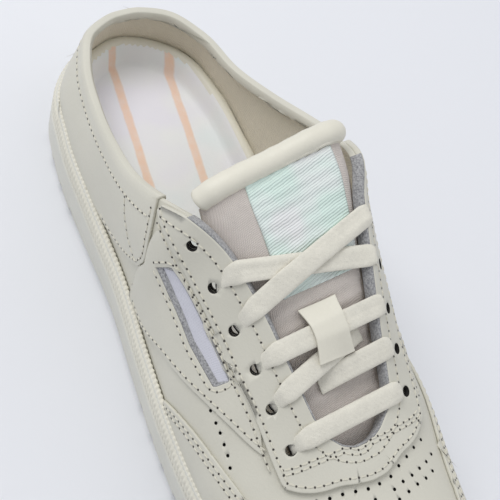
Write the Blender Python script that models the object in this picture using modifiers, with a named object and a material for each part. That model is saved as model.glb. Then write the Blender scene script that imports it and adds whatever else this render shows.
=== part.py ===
"""Right-foot sneaker mule: a leather upper on a cup sole, laced in front, low at the heel.

Units are metres. X runs from heel to toe, Y towards the inner (medial) side and Z up.
The origin is on the floor, under the middle of the sole's length and width.

A station runs once round the shoe: 0 at the heel, up the lateral side to 1 at the toe
and back along the medial side to 2. A height runs up the upper's wall, from 0 at the
sole's rim to 1 at the top line, and from 0 down to -1 inside the cup sole.
"""

import math

import bmesh
import bpy
import numpy as np
from mathutils import Vector
from mathutils.bvhtree import BVHTree

# Overall sizes
LENGTH = 0.270
BALL_WIDTH = 0.094
INSTEP_HEIGHT = 0.090

# Sole
RIM_HEIGHT = 0.032
FLOOR_HEIGHT = 0.0205
TOE_SPRING = 0.008
OUTSOLE_THICKNESS = 0.0045
CUP_WALL = 0.0032
BAND_HEIGHT = 0.0100
BAND_STEP = 0.0005
EDGE_INSET = 0.0012
EDGE_ROUNDING = 0.0010
WALL_FOOT = 0.0030
RIM_ROUNDING = 0.0010
GROOVE_WIDTH = 0.0030
GROOVE_DEPTH = 0.0020
GROOVE_PITCH = 0.0115
GROOVED_HEEL = (0.06, 0.27)
GROOVED_FOREFOOT = (0.50, 0.90)

# Upper and its overlays
LEATHER = 0.0020
OVERLAY = 0.0011
EYESTAY = 0.0015
WINDOW_FABRIC = 0.0005
EYELET_RADIUS = 0.0019
LOW_EDGE = 0.02
WINDOW_SHARE = 0.92

# Insole and tongue
INSOLE_THICKNESS = 0.0055
INSOLE_LIP = 0.0072
LIP_WIDTH = 0.0037
LIP_TOP = 0.0013
TONGUE_THICKNESS = 0.0035
ROLL_RADIUS = 0.0040
LABEL_THICKNESS = 0.0006

# Laces
LACE_WIDTH = 0.0070
LACE_THICKNESS = 0.0016
KEEPER_WIDTH = 0.0140
KEEPER_LENGTH = 0.0150
KEEPER_THICKNESS = 0.0008

# Air between pieces that touch
GAP = 0.0003
SKIN_GAP = 0.0004
TONGUE_CLEARANCE = 0.0008
BAND_CLEARANCE = 0.0011

# Steps of the lofts
RING_STEPS = 52
WALL_STEPS = 7
TONGUE_STEPS = 14
EYELET_SIDES = 10
KEEPER_STEPS = 12

HALF_LENGTH = LENGTH / 2
HALF_WIDTH = BALL_WIDTH / 2
UPPER_INSET = CUP_WALL + GAP
INSOLE_INSET = UPPER_INSET + LEATHER + GAP

# Lines between the upper's facets in stations and heights: a line's points have a whole
# number as their product with its vector.
FACET_LINES = (
    Vector((RING_STEPS / 2, 0, 0)),
    Vector((0, WALL_STEPS, 0)),
    Vector((RING_STEPS / 2, -WALL_STEPS, 0)),
)

# Rough lengths of a unit of station and of a unit of height on the wall.
STATION_SPAN = LENGTH * 1.15
HEIGHT_SPAN = INSTEP_HEIGHT * 0.6

# Sole outline: distance from the heel as a share of the length, half widths as shares
# of half the ball width.
OUTLINE = (
    # along, lateral, medial
    (0.018, 0.328, 0.328),
    (0.070, 0.647, 0.642),
    (0.150, 0.773, 0.758),
    (0.260, 0.824, 0.783),
    (0.370, 0.859, 0.778),
    (0.480, 0.952, 0.844),
    (0.590, 1.029, 0.920),
    (0.690, 1.056, 0.945),
    (0.800, 0.995, 0.824),
    (0.890, 0.778, 0.692),
    (0.950, 0.566, 0.551),
    (0.986, 0.303, 0.369),
)
TOE_SHIFT = 0.06

# Heights along the sole, as shares of the toe spring, floor height, rim height and
# insole lip.
SOLE_LEVELS = (
    # along, bottom, floor, rim, lip
    (0.00, 0.10, 1.00, 1.000, 1.00),
    (0.06, 0.00, 1.00, 1.000, 1.00),
    (0.15, 0.00, 1.00, 0.985, 0.97),
    (0.20, 0.00, 0.98, 0.952, 0.91),
    (0.26, 0.05, 0.93, 0.915, 0.82),
    (0.38, 0.12, 0.80, 0.858, 0.62),
    (0.50, 0.05, 0.68, 0.850, 0.35),
    (0.62, 0.00, 0.62, 0.860, 0.15),
    (0.72, 0.00, 0.62, 0.890, 0.08),
    (0.82, 0.25, 0.68, 0.945, 0.06),
    (0.92, 0.62, 0.83, 1.030, 0.06),
    (1.00, 1.00, 0.98, 1.110, 0.06),
)

# Top line: the collar, the throat's two edges and the throat's front end. Along is a
# share of the length, widths of half the ball width and heights of the instep height.
# The slope, in degrees, is the one at which the wall reaches the line. Rise and reach
# say how far the wall keeps its first and last direction.
TOP_LINE = (
    # station, along, lateral width, height, slope, medial width, height, slope, rise, reach
    (0.000, 0.027, 0.000, 0.573, 86, 0.000, 0.573, 86, 0.34, 0.34),
    (0.040, 0.031, 0.157, 0.574, 86, 0.172, 0.574, 86, 0.34, 0.34),
    (0.080, 0.049, 0.359, 0.568, 86, 0.399, 0.568, 86, 0.34, 0.34),
    (0.125, 0.093, 0.495, 0.568, 86, 0.571, 0.563, 86, 0.34, 0.34),
    (0.197, 0.168, 0.606, 0.594, 84, 0.662, 0.583, 84, 0.34, 0.34),
    (0.262, 0.241, 0.679, 0.665, 82, 0.733, 0.672, 82, 0.34, 0.34),
    (0.325, 0.316, 0.720, 0.775, 76, 0.783, 0.800, 76, 0.34, 0.34),
    (0.368, 0.366, 0.687, 0.872, 66, 0.768, 0.905, 68, 0.34, 0.36),
    (0.408, 0.409, 0.591, 0.938, 54, 0.707, 0.985, 56, 0.34, 0.38),
    (0.457, 0.459, 0.445, 0.902, 46, 0.581, 0.955, 46, 0.35, 0.40),
    (0.510, 0.522, 0.354, 0.825, 41, 0.485, 0.880, 40, 0.36, 0.42),
    (0.600, 0.600, 0.293, 0.728, 36, 0.404, 0.752, 36, 0.36, 0.44),
    (0.690, 0.670, 0.243, 0.642, 28, 0.334, 0.645, 28, 0.34, 0.48),
    (0.780, 0.697, 0.160, 0.612, 20, 0.212, 0.612, 20, 0.32, 0.52),
    (0.880, 0.709, 0.071, 0.604, 14, 0.101, 0.604, 14, 0.30, 0.55),
    (1.000, 0.711, 0.010, 0.602, 12, 0.010, 0.602, 12, 0.30, 0.56),
)

# Pattern edges on the wall as (station, height). Those of one side also serve the
# other, whose stations are counted back from 2.
EYESTAY_EDGE = (
    (0.376, 0.945),
    (0.390, 0.870),
    (0.417, 0.795),
    (0.455, 0.740),
    (0.505, 0.722),
    (0.560, 0.712),
    (0.620, 0.712),
    (0.672, 0.690),
    (0.712, 0.668),
)
EYESTAY_FRONT = (
    (0.712, 0.668),
    (0.760, 0.755),
    (0.820, 0.850),
    (0.900, 0.895),
    (1.000, 0.905),
)
HEEL_FRONT = (
    (0.366, 1.000),
    (0.378, 0.870),
    (0.393, 0.683),
    (0.403, 0.500),
    (0.397, 0.390),
)
HEEL_LOWER = (
    (0.397, 0.390),
    (0.370, 0.250),
    (0.340, 0.142),
    (0.310, 0.065),
    (0.283, 0.020),
)
QUARTER_LOWER = (
    (0.412, 0.020),
    (0.440, 0.050),
    (0.492, 0.233),
    (0.530, 0.342),
    (0.562, 0.433),
    (0.610, 0.548),
    (0.638, 0.605),
    (0.660, 0.655),
)
TOE_GUARD_EDGE = (
    (0.530, 0.020),
    (0.545, 0.110),
    (0.575, 0.225),
    (0.633, 0.350),
    (0.720, 0.445),
    (0.850, 0.450),
    (1.000, 0.430),
)
WINDOW = (
    (0.420, 0.585),
    (0.432, 0.690),
    (0.455, 0.685),
    (0.510, 0.672),
    (0.566, 0.668),
    (0.560, 0.548),
    (0.505, 0.515),
    (0.450, 0.545),
)
UP_CLEARANCE = 0.008
ROUND_CLEARANCE = 0.0025

# Eyelets as station, then the height on the lateral and on the medial side.
EYELETS = (
    (0.430, 0.895, 0.900),
    (0.475, 0.842, 0.870),
    (0.520, 0.825, 0.860),
    (0.573, 0.835, 0.860),
    (0.625, 0.820, 0.845),
    (0.683, 0.815, 0.840),
)

# Tongue sections from its top edge to its front end: station of the throat edge, the
# height its sides reach down to and its crown as a share of its width. The setbacks
# carry its top edge beyond the throat, as shares of the length.
TONGUE = (
    # share, station, side height, crown, lateral setback, medial setback
    (0.00, 0.432, 0.960, 0.045, 0.028, 0.046),
    (0.14, 0.440, 0.930, 0.040, 0.004, 0.008),
    (0.30, 0.480, 0.880, 0.035, 0.000, 0.000),
    (0.50, 0.540, 0.850, 0.030, 0.000, 0.000),
    (0.70, 0.610, 0.840, 0.025, 0.000, 0.000),
    (0.86, 0.680, 0.820, 0.015, 0.000, 0.000),
    (1.00, 0.740, 0.780, 0.000, -0.036, -0.036),
)
TONGUE_PITCH = 0.40

# The label's and keeper's places on the tongue: across from -1 to 1, along from 0 to 1.
LABEL_SIDES = (-0.40, 0.66)
LABEL_ENDS = (0.03, 0.42)

# Lace runs as (side, eyelet) pairs counted from the collar, with the share of the run
# between them that is laid. Each later run of a piece crosses over the earlier one.
LACES = (
    ("lace_front", ((("lateral", 5), ("medial", 5), 1.00),)),
    ("lace_lower", ((("medial", 4), ("lateral", 4), 0.64), (("lateral", 4), ("medial", 3), 0.74))),
    ("lace_middle", ((("lateral", 3), ("medial", 3), 1.00),)),
    ("lace_upper", ((("lateral", 1), ("medial", 2), 1.00), (("lateral", 2), ("medial", 1), 1.00))),
)
LACE_STEPS = 18
FINE_STEPS = 3
LACE_SINK = 0.0008


def along_table(table, keys):
    """Smooth values of a table whose first column is the key, one row for each of keys."""
    table = np.array(table, float)
    x, y = table[:, 0], table[:, 1:]
    keys = np.clip(np.atleast_1d(np.asarray(keys, float)), x[0], x[-1])
    slope = np.gradient(y, x, axis=0)
    i = np.clip(np.searchsorted(x, keys, side="right") - 1, 0, len(x) - 2)
    h = (x[i + 1] - x[i])[:, None]
    s = ((keys - x[i]) / (x[i + 1] - x[i]))[:, None]
    start = (1 + 2 * s) * (1 - s) ** 2 * y[i] + s * (1 - s) ** 2 * h * slope[i]
    end = s**2 * (3 - 2 * s) * y[i + 1] + s**2 * (s - 1) * h * slope[i + 1]
    return start + end


def closed_table(keys, rows):
    """A table round the shoe, with a few rows repeated past each end to close it."""
    tail = np.c_[keys[-4:-1] - 2, rows[-4:-1]]
    head = np.c_[keys[1:4] + 2, rows[1:4]]
    return np.vstack([tail, np.c_[keys, rows], head])


def outline_loop():
    """The sole outline round the shoe, keyed by station."""
    lateral = [(a, -w) for a, w, _ in OUTLINE]
    medial = [(a, w) for a, _, w in reversed(OUTLINE)]
    points = np.array([(0, 0)] + lateral + [(1, TOE_SHIFT)] + medial + [(0, 0)])
    points = points * (LENGTH, HALF_WIDTH) - (HALF_LENGTH, 0)
    run = np.r_[0, np.cumsum(np.linalg.norm(np.diff(points, axis=0), axis=1))]
    toe = run[len(lateral) + 1]
    keys = np.where(run <= toe, run / toe, 1 + (run - toe) / (run[-1] - toe))
    return closed_table(keys, points)


def off_centre(loop):
    """How far the middle of a closed table's places lies from the origin."""
    places = along_table(loop, np.linspace(0, 2, 800))
    return (places.min(axis=0) + places.max(axis=0)) / 2


def top_loop():
    """The top line round the shoe: place, slope, rise and reach, keyed by station."""
    rows = np.array(TOP_LINE, float)
    x = rows[:, 1] * LENGTH - HALF_LENGTH - MIDDLE[0]
    wide = rows[:, (2, 5)] * HALF_WIDTH
    high = rows[:, (3, 6)] * INSTEP_HEIGHT
    lateral = np.c_[x, -wide[:, 0] - MIDDLE[1], high[:, 0], rows[:, (4, 8, 9)]]
    medial = np.c_[x, wide[:, 1] - MIDDLE[1], high[:, 1], rows[:, (7, 8, 9)]]
    keys = np.r_[rows[:, 0], 2 - rows[-2::-1, 0]]
    return closed_table(keys, np.vstack([lateral[:-1], medial[::-1]]))


OUTLINE_LOOP = outline_loop()
MIDDLE = off_centre(OUTLINE_LOOP)
OUTLINE_LOOP[:, 1:] -= MIDDLE
TOP_LOOP = top_loop()


def outline(station, inset=0.0):
    """Points of the sole outline in plan, moved inwards."""
    station = np.mod(np.atleast_1d(np.asarray(station, float)), 2)
    point = along_table(OUTLINE_LOOP, station)
    step = 0.004
    run = along_table(OUTLINE_LOOP, station + step) - along_table(OUTLINE_LOOP, station - step)
    run /= np.linalg.norm(run, axis=1)[:, None]
    return point + np.c_[-run[:, 1], run[:, 0]] * np.reshape(inset, (-1, 1))


def levels(x):
    """Heights of the sole's bottom, floor and rim and of the insole's lip at each x."""
    share = along_table(SOLE_LEVELS, np.asarray(x) / LENGTH + 0.5).clip(min=0)
    return share * (TOE_SPRING, FLOOR_HEIGHT, RIM_HEIGHT, INSOLE_LIP)


def unit(vectors):
    """Vectors of length one."""
    return vectors / np.linalg.norm(vectors, axis=-1, keepdims=True)


def wall_point(station, height):
    """Points of the upper's outer surface."""
    station, height = np.broadcast_arrays(
        np.asarray(station, float), np.asarray(height, float)
    )
    shape = station.shape
    station, height = np.mod(station.ravel(), 2), height.ravel()
    foot = outline(station, UPPER_INSET)
    low = levels(foot[:, 0])
    start = np.c_[foot, low[:, 2]]
    top = along_table(TOP_LOOP, station)
    end = top[:, :3]
    inward = outline(station, 1) - outline(station)
    heading = unit((end - start)[:, :2] + inward * 0.006)
    slope = np.radians(top[:, 3:4])
    direction = np.c_[heading * np.cos(slope), np.sin(slope)]
    span = np.linalg.norm(end - start, axis=1)[:, None]
    first = start + np.array((0, 0, 1)) * span * top[:, 4:5]
    last = end - direction * span * top[:, 5:6]
    s = np.clip(height, 0, None)[:, None]
    r = 1 - s
    point = r**3 * start + 3 * s * r**2 * first + 3 * s**2 * r * last + s**3 * end
    point[:, 2] += np.clip(height, -1, 0) * (low[:, 2] - low[:, 1] - GAP)
    return point.reshape(shape + (3,))


def upper_point(station, height, lift=0.0):
    """Points of the upper's outer surface, lifted off it along its normal."""
    step = 0.002
    along = wall_point(station + step, height) - wall_point(station - step, height)
    up = wall_point(station, height + step) - wall_point(station, height - step)
    return wall_point(station, height) + unit(np.cross(along, up)) * lift


def skin_point(station, height, lift):
    """Points on the upper's facets, lifted off them, so that what lies there fits them."""
    cells = np.c_[np.asarray(station) * RING_STEPS / 2, np.asarray(height) * WALL_STEPS]
    first = np.floor(cells)
    across, up = (cells - first).T[:, :, None]

    def corner(right, above):
        return upper_point(
            (first[:, 0] + right) * 2 / RING_STEPS, (first[:, 1] + above) / WALL_STEPS, lift
        )

    a, b, c, d = corner(0, 0), corner(1, 0), corner(1, 1), corner(0, 1)
    below = a + (b - a) * across + (c - b) * up
    above = a + (d - a) * up + (c - d) * across
    return np.where(across > up, below, above)


def material(name, colour, roughness):
    """A plain Principled material."""
    made = bpy.data.materials.new(name)
    made.use_nodes = True
    shader = made.node_tree.nodes["Principled BSDF"]
    shader.inputs["Base Color"].default_value = (*colour, 1)
    shader.inputs["Roughness"].default_value = roughness
    shader.inputs["Metallic"].default_value = 0.0
    return made


def collection(name):
    """A new collection in the scene."""
    made = bpy.data.collections.new(name)
    bpy.context.scene.collection.children.link(made)
    return made


def mesh_object(name, vertices, faces, finish, home):
    """An object of the given points and faces."""
    mesh = bpy.data.meshes.new(name)
    mesh.from_pydata([tuple(map(float, v)) for v in vertices], [], faces)
    mesh.update()
    mesh.shade_smooth()
    mesh.set_sharp_from_angle(angle=math.radians(40))
    made = bpy.data.objects.new(name, mesh)
    if finish:
        mesh.materials.append(finish)
    home.objects.link(made)
    return made


def grid_faces(rows, columns, wrap=False):
    """Quads of a grid of points stored row by row, its columns closed on request."""
    faces = []
    for i in range(rows - 1):
        low, high = i * columns, (i + 1) * columns
        for j in range(columns if wrap else columns - 1):
            k = (j + 1) % columns
            faces.append((low + j, low + k, high + k, high + j))
    return faces


def ladder_faces(first, count, flipped):
    """Quads that close a ring from side to side, between stations level with each other."""
    faces = [(first, first + 1, first + count - 1)]
    for i in range(1, count // 2 - 1):
        faces.append((first + i, first + i + 1, first + count - i - 1, first + count - i))
    middle = first + count // 2
    faces.append((middle - 1, middle, middle + 1))
    return [face[::-1] for face in faces] if flipped else faces


def thicken(target, thickness, offset):
    """Give a surface its thickness; offset 1 is outwards and -1 inwards."""
    modifier = target.modifiers.new("thickness", "SOLIDIFY")
    modifier.thickness = thickness
    modifier.offset = offset
    modifier.use_even_offset = True
    modifier.use_quality_normals = True


def cut(target, cutter):
    """Take a cutter out of an object."""
    modifier = target.modifiers.new("cut", "BOOLEAN")
    modifier.operation = "DIFFERENCE"
    modifier.solver = "EXACT"
    modifier.object = cutter


def ring_solid(name, rings, finish, home):
    """A closed solid lofted through rings that run round the shoe, flat at both ends."""
    count = len(rings[0])
    vertices = np.vstack(rings)
    faces = grid_faces(len(rings), count, wrap=True)
    faces += ladder_faces(0, count, flipped=True)
    faces += ladder_faces(len(vertices) - count, count, flipped=False)
    return mesh_object(name, vertices, faces, finish, home)


def ring(inset, height):
    """A ring round the shoe: the outline moved inwards, at the height of each station."""
    stations = np.arange(RING_STEPS) * 2 / RING_STEPS
    plan = outline(stations, inset)
    return np.c_[plan, height(levels(plan[:, 0]))]


def smooth_edge(points, steps):
    """A smooth run through pattern points, with about the given number of steps."""
    points = np.array(points, float)
    size = np.diff(points, axis=0) * (STATION_SPAN, HEIGHT_SPAN)
    run = np.r_[0, np.cumsum(np.linalg.norm(size, axis=1))]
    return along_table(np.c_[run, points], np.linspace(0, run[-1], steps + 1))


def mirrored(points):
    """Pattern points on the other side of the shoe, in reverse order."""
    return [(2 - station, height) for station, height in reversed(points)]


def on_grid(edge):
    """Whether a flat pattern's edge lies along one of the lines of the upper's facets."""
    for lines in FACET_LINES:
        a, b = (vertex.co.dot(lines) for vertex in edge.verts)
        if abs(a - b) < 1e-3 and abs(a - round(a)) < 1e-3:
            return True
    return False


def pattern_piece(name, edge, holes, lift, thickness, finish, home):
    """A flat pattern, drawn as stations and heights, laid on the upper and thickened."""
    pattern = bmesh.new()
    for loop in [edge] + holes:
        corners = [pattern.verts.new((station, height, 0)) for station, height in loop]
        for a, b in zip(corners, corners[1:] + corners[:1]):
            pattern.edges.new((a, b))
    bmesh.ops.triangle_fill(pattern, edges=pattern.edges[:], use_beauty=True, normal=(0, 0, 1))
    for lines in FACET_LINES:
        counts = [vertex.co.dot(lines) for vertex in pattern.verts]
        for count in range(math.ceil(min(counts)), math.floor(max(counts)) + 1):
            bmesh.ops.bisect_plane(
                pattern,
                geom=pattern.verts[:] + pattern.edges[:] + pattern.faces[:],
                dist=1e-5,
                plane_co=lines * (count / lines.length_squared),
                plane_no=lines,
            )
    inner = [edge for edge in pattern.edges if not edge.is_boundary and not on_grid(edge)]
    bmesh.ops.dissolve_edges(pattern, edges=inner, use_verts=False)
    spare = [v for v in pattern.verts if len(v.link_edges) == 2 and not v.is_boundary]
    bmesh.ops.dissolve_verts(pattern, verts=spare)
    bmesh.ops.dissolve_degenerate(pattern, dist=1e-5, edges=pattern.edges[:])
    flat = np.array([v.co[:2] for v in pattern.verts])
    placed = skin_point(flat[:, 0], flat[:, 1], lift)
    for vertex, place in zip(pattern.verts, placed):
        vertex.co = place
    mesh = bpy.data.meshes.new(name)
    pattern.to_mesh(mesh)
    pattern.free()
    mesh.shade_smooth()
    mesh.materials.append(finish)
    made = bpy.data.objects.new(name, mesh)
    home.objects.link(made)
    thicken(made, thickness, 1)
    return made


def make_outsole(finish, home, cutters):
    """Rubber outsole with cross grooves under the heel and the forefoot."""
    rings = [
        ring(EDGE_INSET + EDGE_ROUNDING, lambda z: z[:, 0]),
        ring(EDGE_INSET, lambda z: z[:, 0] + EDGE_ROUNDING),
        ring(EDGE_INSET, lambda z: z[:, 0] + OUTSOLE_THICKNESS),
    ]
    sole = ring_solid("outsole", rings, finish, home)
    for first, last in (GROOVED_HEEL, GROOVED_FOREFOOT):
        count = int((last - first) * LENGTH / GROOVE_PITCH)
        for k in range(count):
            x = (first * LENGTH - HALF_LENGTH) + (k + 0.5) * GROOVE_PITCH
            base = levels(np.array([x]))[0, 0]
            bpy.ops.mesh.primitive_cube_add(size=1)
            groove = bpy.context.object
            groove.name = f"groove_{first:.2f}_{k}"
            groove.scale = (GROOVE_WIDTH, BALL_WIDTH * 1.2, GROOVE_DEPTH * 2)
            groove.location = (x, 0, base)
            bpy.ops.object.transform_apply(location=False, rotation=False, scale=True)
            hide_cutter(groove, cutters)
            cut(sole, groove)
    return sole


def hide_cutter(cutter, cutters):
    """Move a cutter to its own collection, hidden from renders."""
    for home in list(cutter.users_collection):
        home.objects.unlink(cutter)
    cutters.objects.link(cutter)
    cutter.hide_render = True
    cutter.display_type = "WIRE"


def make_midsole(finish, home):
    """Cup of the sole: a wall with a raised band round its top, and a floor."""
    under = OUTSOLE_THICKNESS + GAP
    rings = [
        ring(EDGE_INSET, lambda z: z[:, 0] + under),
        ring(0.0, lambda z: z[:, 0] + under + WALL_FOOT),
        ring(0.0, lambda z: z[:, 2] - BAND_HEIGHT),
        ring(BAND_STEP, lambda z: z[:, 2] - BAND_HEIGHT + BAND_STEP),
        ring(BAND_STEP, lambda z: z[:, 2] - RIM_ROUNDING),
        ring(BAND_STEP + RIM_ROUNDING, lambda z: z[:, 2]),
        ring(CUP_WALL, lambda z: z[:, 2]),
        ring(CUP_WALL, lambda z: z[:, 1]),
    ]
    return ring_solid("midsole", rings, finish, home)


def make_insole(finish, home):
    """Footbed with a raised lip that cups the heel."""
    top = GAP + INSOLE_THICKNESS
    rings = [
        ring(INSOLE_INSET, lambda z: z[:, 1] + GAP),
        ring(INSOLE_INSET, lambda z: z[:, 1] + top + z[:, 3]),
        ring(INSOLE_INSET + LIP_TOP, lambda z: z[:, 1] + top + z[:, 3]),
        ring(INSOLE_INSET + LIP_WIDTH, lambda z: z[:, 1] + top),
    ]
    return ring_solid("insole", rings, finish, home)


def make_upper(finish, home):
    """The wall all round, open at the collar and throat and underneath."""
    stations = np.arange(RING_STEPS) * 2 / RING_STEPS
    heights = np.r_[-1, -0.5, np.linspace(0, 1, WALL_STEPS + 1)]
    points = [upper_point(stations, np.full(RING_STEPS, h)) for h in heights]
    quads = grid_faces(len(heights), RING_STEPS, wrap=True)
    faces = [half for a, b, c, d in quads for half in ((a, b, c), (a, c, d))]
    upper = mesh_object("upper", np.vstack(points), faces, finish, home)
    thicken(upper, LEATHER, -1)
    return upper


def eyestay_loop():
    """Outer edge of the eyestay from the lateral collar round the front to the medial."""
    lateral = np.vstack([smooth_edge(EYESTAY_EDGE, 10), smooth_edge(EYESTAY_FRONT, 6)[1:]])
    return [tuple(p) for p in lateral] + mirrored([tuple(p) for p in lateral[:-1]])


def make_eyestay(finish, home):
    """Lace panel round the throat."""
    back = EYESTAY_EDGE[0][0]
    inner = [(s, 1.0) for s in np.linspace(2 - back, back, 34)]
    return pattern_piece("eyestay", eyestay_loop() + inner, [], SKIN_GAP, EYESTAY, finish, home)


def make_heel_counter(finish, home):
    """Heel overlay, from the lateral quarter round the heel to the medial one."""
    front = np.vstack([smooth_edge(HEEL_FRONT, 5), smooth_edge(HEEL_LOWER, 5)[1:]])
    front = [tuple(p) for p in front]
    start = HEEL_LOWER[-1][0]
    low = [(s, LOW_EDGE) for s in np.linspace(start, -start, 18)[1:-1]]
    far = [(-s, h) for s, h in reversed(front)]
    end = HEEL_FRONT[0][0]
    top = [(s, 1.0) for s in np.linspace(-end, end, 24)[1:-1]]
    return pattern_piece("heel_counter", front + low + far + top, [], SKIN_GAP, OVERLAY, finish, home)


def window_loop(share):
    """Edge of the side window, drawn in towards its middle by a share."""
    centre = np.mean(WINDOW, axis=0)
    return [tuple(p) for p in (np.array(WINDOW) - centre) * share + centre]


def quarter_loop():
    """Edge of the lateral quarter, between the heel overlay, sole, vamp and eyestay."""
    lower = smooth_edge(QUARTER_LOWER, 10)
    upper_edge = [(s, h - UP_CLEARANCE) for s, h in EYESTAY_EDGE if 0.38 < s < 0.67]
    upper_edge = smooth_edge(upper_edge, 9)[::-1]
    back = [(s + ROUND_CLEARANCE, h) for s, h in HEEL_FRONT if h < 0.86]
    back += [(HEEL_LOWER[0][0] + ROUND_CLEARANCE, h) for h in (0.200, LOW_EDGE)]
    return [tuple(p) for p in lower] + [tuple(p) for p in upper_edge] + back


def make_quarter(name, side, finish, home):
    """Side overlay with its window."""
    edge, window = quarter_loop(), window_loop(1)
    if side == "medial":
        edge, window = mirrored(edge), mirrored(window)
    return pattern_piece(name, edge, [window], SKIN_GAP, OVERLAY, finish, home)


def make_window(name, side, finish, home):
    """Fabric that shows in the side window."""
    edge = window_loop(WINDOW_SHARE)
    if side == "medial":
        edge = mirrored(edge)
    return pattern_piece(name, edge, [], SKIN_GAP, WINDOW_FABRIC, finish, home)


def make_toe_guard(finish, home):
    """Overlay round the toe, above the sole."""
    edge = [tuple(p) for p in smooth_edge(TOE_GUARD_EDGE, 14)]
    edge += mirrored(edge[:-1])
    first = TOE_GUARD_EDGE[0][0]
    low = [(s, LOW_EDGE) for s in np.linspace(2 - first, first, 26)[1:-1]]
    return pattern_piece("toe_guard", edge + low, [], SKIN_GAP, OVERLAY, finish, home)


def eyelet_centres():
    """Station and height of every eyelet: six lateral, then six medial."""
    lateral = [(s, low) for s, low, _ in EYELETS]
    medial = [(2 - s, high) for s, _, high in EYELETS]
    return lateral + medial


def cut_eyelets(targets, cutters):
    """Punch the eyelets through the eyestay and the wall under it."""
    for k, (station, height) in enumerate(eyelet_centres()):
        centre = Vector(wall_point(station, height))
        axis = Vector(upper_point(station, height, 0.001)) - centre
        bpy.ops.mesh.primitive_cylinder_add(
            vertices=EYELET_SIDES, radius=EYELET_RADIUS, depth=(LEATHER + EYESTAY) * 4
        )
        punch = bpy.context.object
        punch.name = f"punch_{k}"
        punch.location = centre
        punch.rotation_mode = "QUATERNION"
        punch.rotation_quaternion = axis.to_track_quat("Z", "Y")
        hide_cutter(punch, cutters)
        for target in targets:
            cut(target, punch)


def tongue_section(along):
    """Points across the tongue at a share of its length, keyed from -1 to 1."""
    station, side, crown, back_lateral, back_medial = along_table(TONGUE, along)[0]
    edges = []
    for turn, back in ((station, back_lateral), (2 - station, back_medial)):
        shift = np.array((-back, 0, back * TONGUE_PITCH)) * LENGTH
        heights = np.array((side, (side + 1) / 2, 1))
        edges.append(upper_point(np.full(3, turn), heights, -(LEATHER + TONGUE_CLEARANCE)) + shift)
    lateral, medial = edges
    width = np.linalg.norm(medial[2] - lateral[2])
    middle = (lateral[2] + medial[2]) / 2 + np.array((0, 0, width * crown))
    points = np.vstack([lateral, [middle], medial[::-1]])
    run = np.r_[0, np.cumsum(np.linalg.norm(np.diff(points, axis=0), axis=1))]
    return np.c_[2 * run / run[-1] - 1, points]


def tongue_point(across, along, lift=0.0):
    """Points of the tongue's upper surface: across runs from -1 to 1, along from 0 to 1."""
    across, along = np.broadcast_arrays(np.asarray(across, float), np.asarray(along, float))
    result = np.empty(across.shape + (3,))
    for share in np.unique(along):
        chosen = along == share
        result[chosen] = along_table(tongue_section(share), across[chosen])
    result[..., 2] += lift
    return result


def surface_grid(name, points, finish, home):
    """An open surface through a grid of points."""
    rows, columns = points.shape[:2]
    faces = [face[::-1] for face in grid_faces(rows, columns)]
    return mesh_object(name, points.reshape(-1, 3), faces, finish, home)


def make_tongue(finish, home):
    """Tongue under the throat."""
    steps = TONGUE_STEPS + 1
    across, along = np.meshgrid(np.linspace(-1, 1, steps), np.linspace(0, 1, steps))
    tongue = surface_grid("tongue", tongue_point(across, along), finish, home)
    thicken(tongue, TONGUE_THICKNESS, -1)
    return tongue


def make_tongue_roll(finish, home):
    """Padded roll along the tongue's top edge."""
    across = np.linspace(-0.97, 0.97, TONGUE_STEPS + 1)
    edge = tongue_point(across, np.zeros_like(across))
    onward = unit(edge - tongue_point(across, np.full_like(across, 0.03)))
    path = edge + onward * (ROLL_RADIUS + TONGUE_CLEARANCE) - (0, 0, TONGUE_THICKNESS / 2)
    return tube("tongue_roll", path, ROLL_RADIUS, 3, finish, home)


def tube(name, path, radius, resolution, finish, home):
    """A round tube along a path, closed at both ends."""
    curve = bpy.data.curves.new(name, "CURVE")
    curve.dimensions = "3D"
    curve.bevel_depth = radius
    curve.bevel_resolution = resolution
    curve.use_fill_caps = True
    spline = curve.splines.new("POLY")
    spline.points.add(len(path) - 1)
    for point, place in zip(spline.points, path):
        point.co = (*place, 1)
    curve.materials.append(finish)
    made = bpy.data.objects.new(name, curve)
    home.objects.link(made)
    return made


def make_label(finish, home):
    """Woven label on the tongue, with nothing on it."""
    across, along = np.meshgrid(np.linspace(*LABEL_SIDES, 7), np.linspace(*LABEL_ENDS, 7))
    label = surface_grid("tongue_label", tongue_point(across, along, GAP * 1.5), finish, home)
    thicken(label, LABEL_THICKNESS, 1)
    return label


def heights_over(trees, places):
    """Highest point of any of the trees' surfaces at each place in plan."""
    result = np.full(len(places), -1.0)
    for k, (x, y) in enumerate(places):
        for tree in trees:
            hit = tree.ray_cast(Vector((x, y, 0.3)), Vector((0, 0, -1)))[0]
            if hit:
                result[k] = max(result[k], hit.z)
    return result


def taut(run, heights):
    """Heights of a band pulled tight over a run of heights."""
    kept = []
    for point in zip(run, heights):
        while len(kept) > 1:
            (x0, z0), (x1, z1) = kept[-2:]
            if (z1 - z0) * (point[0] - x0) > (point[1] - z0) * (x1 - x0):
                break
            kept.pop()
        kept.append(point)
    kept = np.array(kept)
    return np.interp(run, kept[:, 0], kept[:, 1])


def tree_of(target):
    """Search tree of an object as its modifiers leave it."""
    return BVHTree.FromObject(target, bpy.context.evaluated_depsgraph_get())


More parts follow.
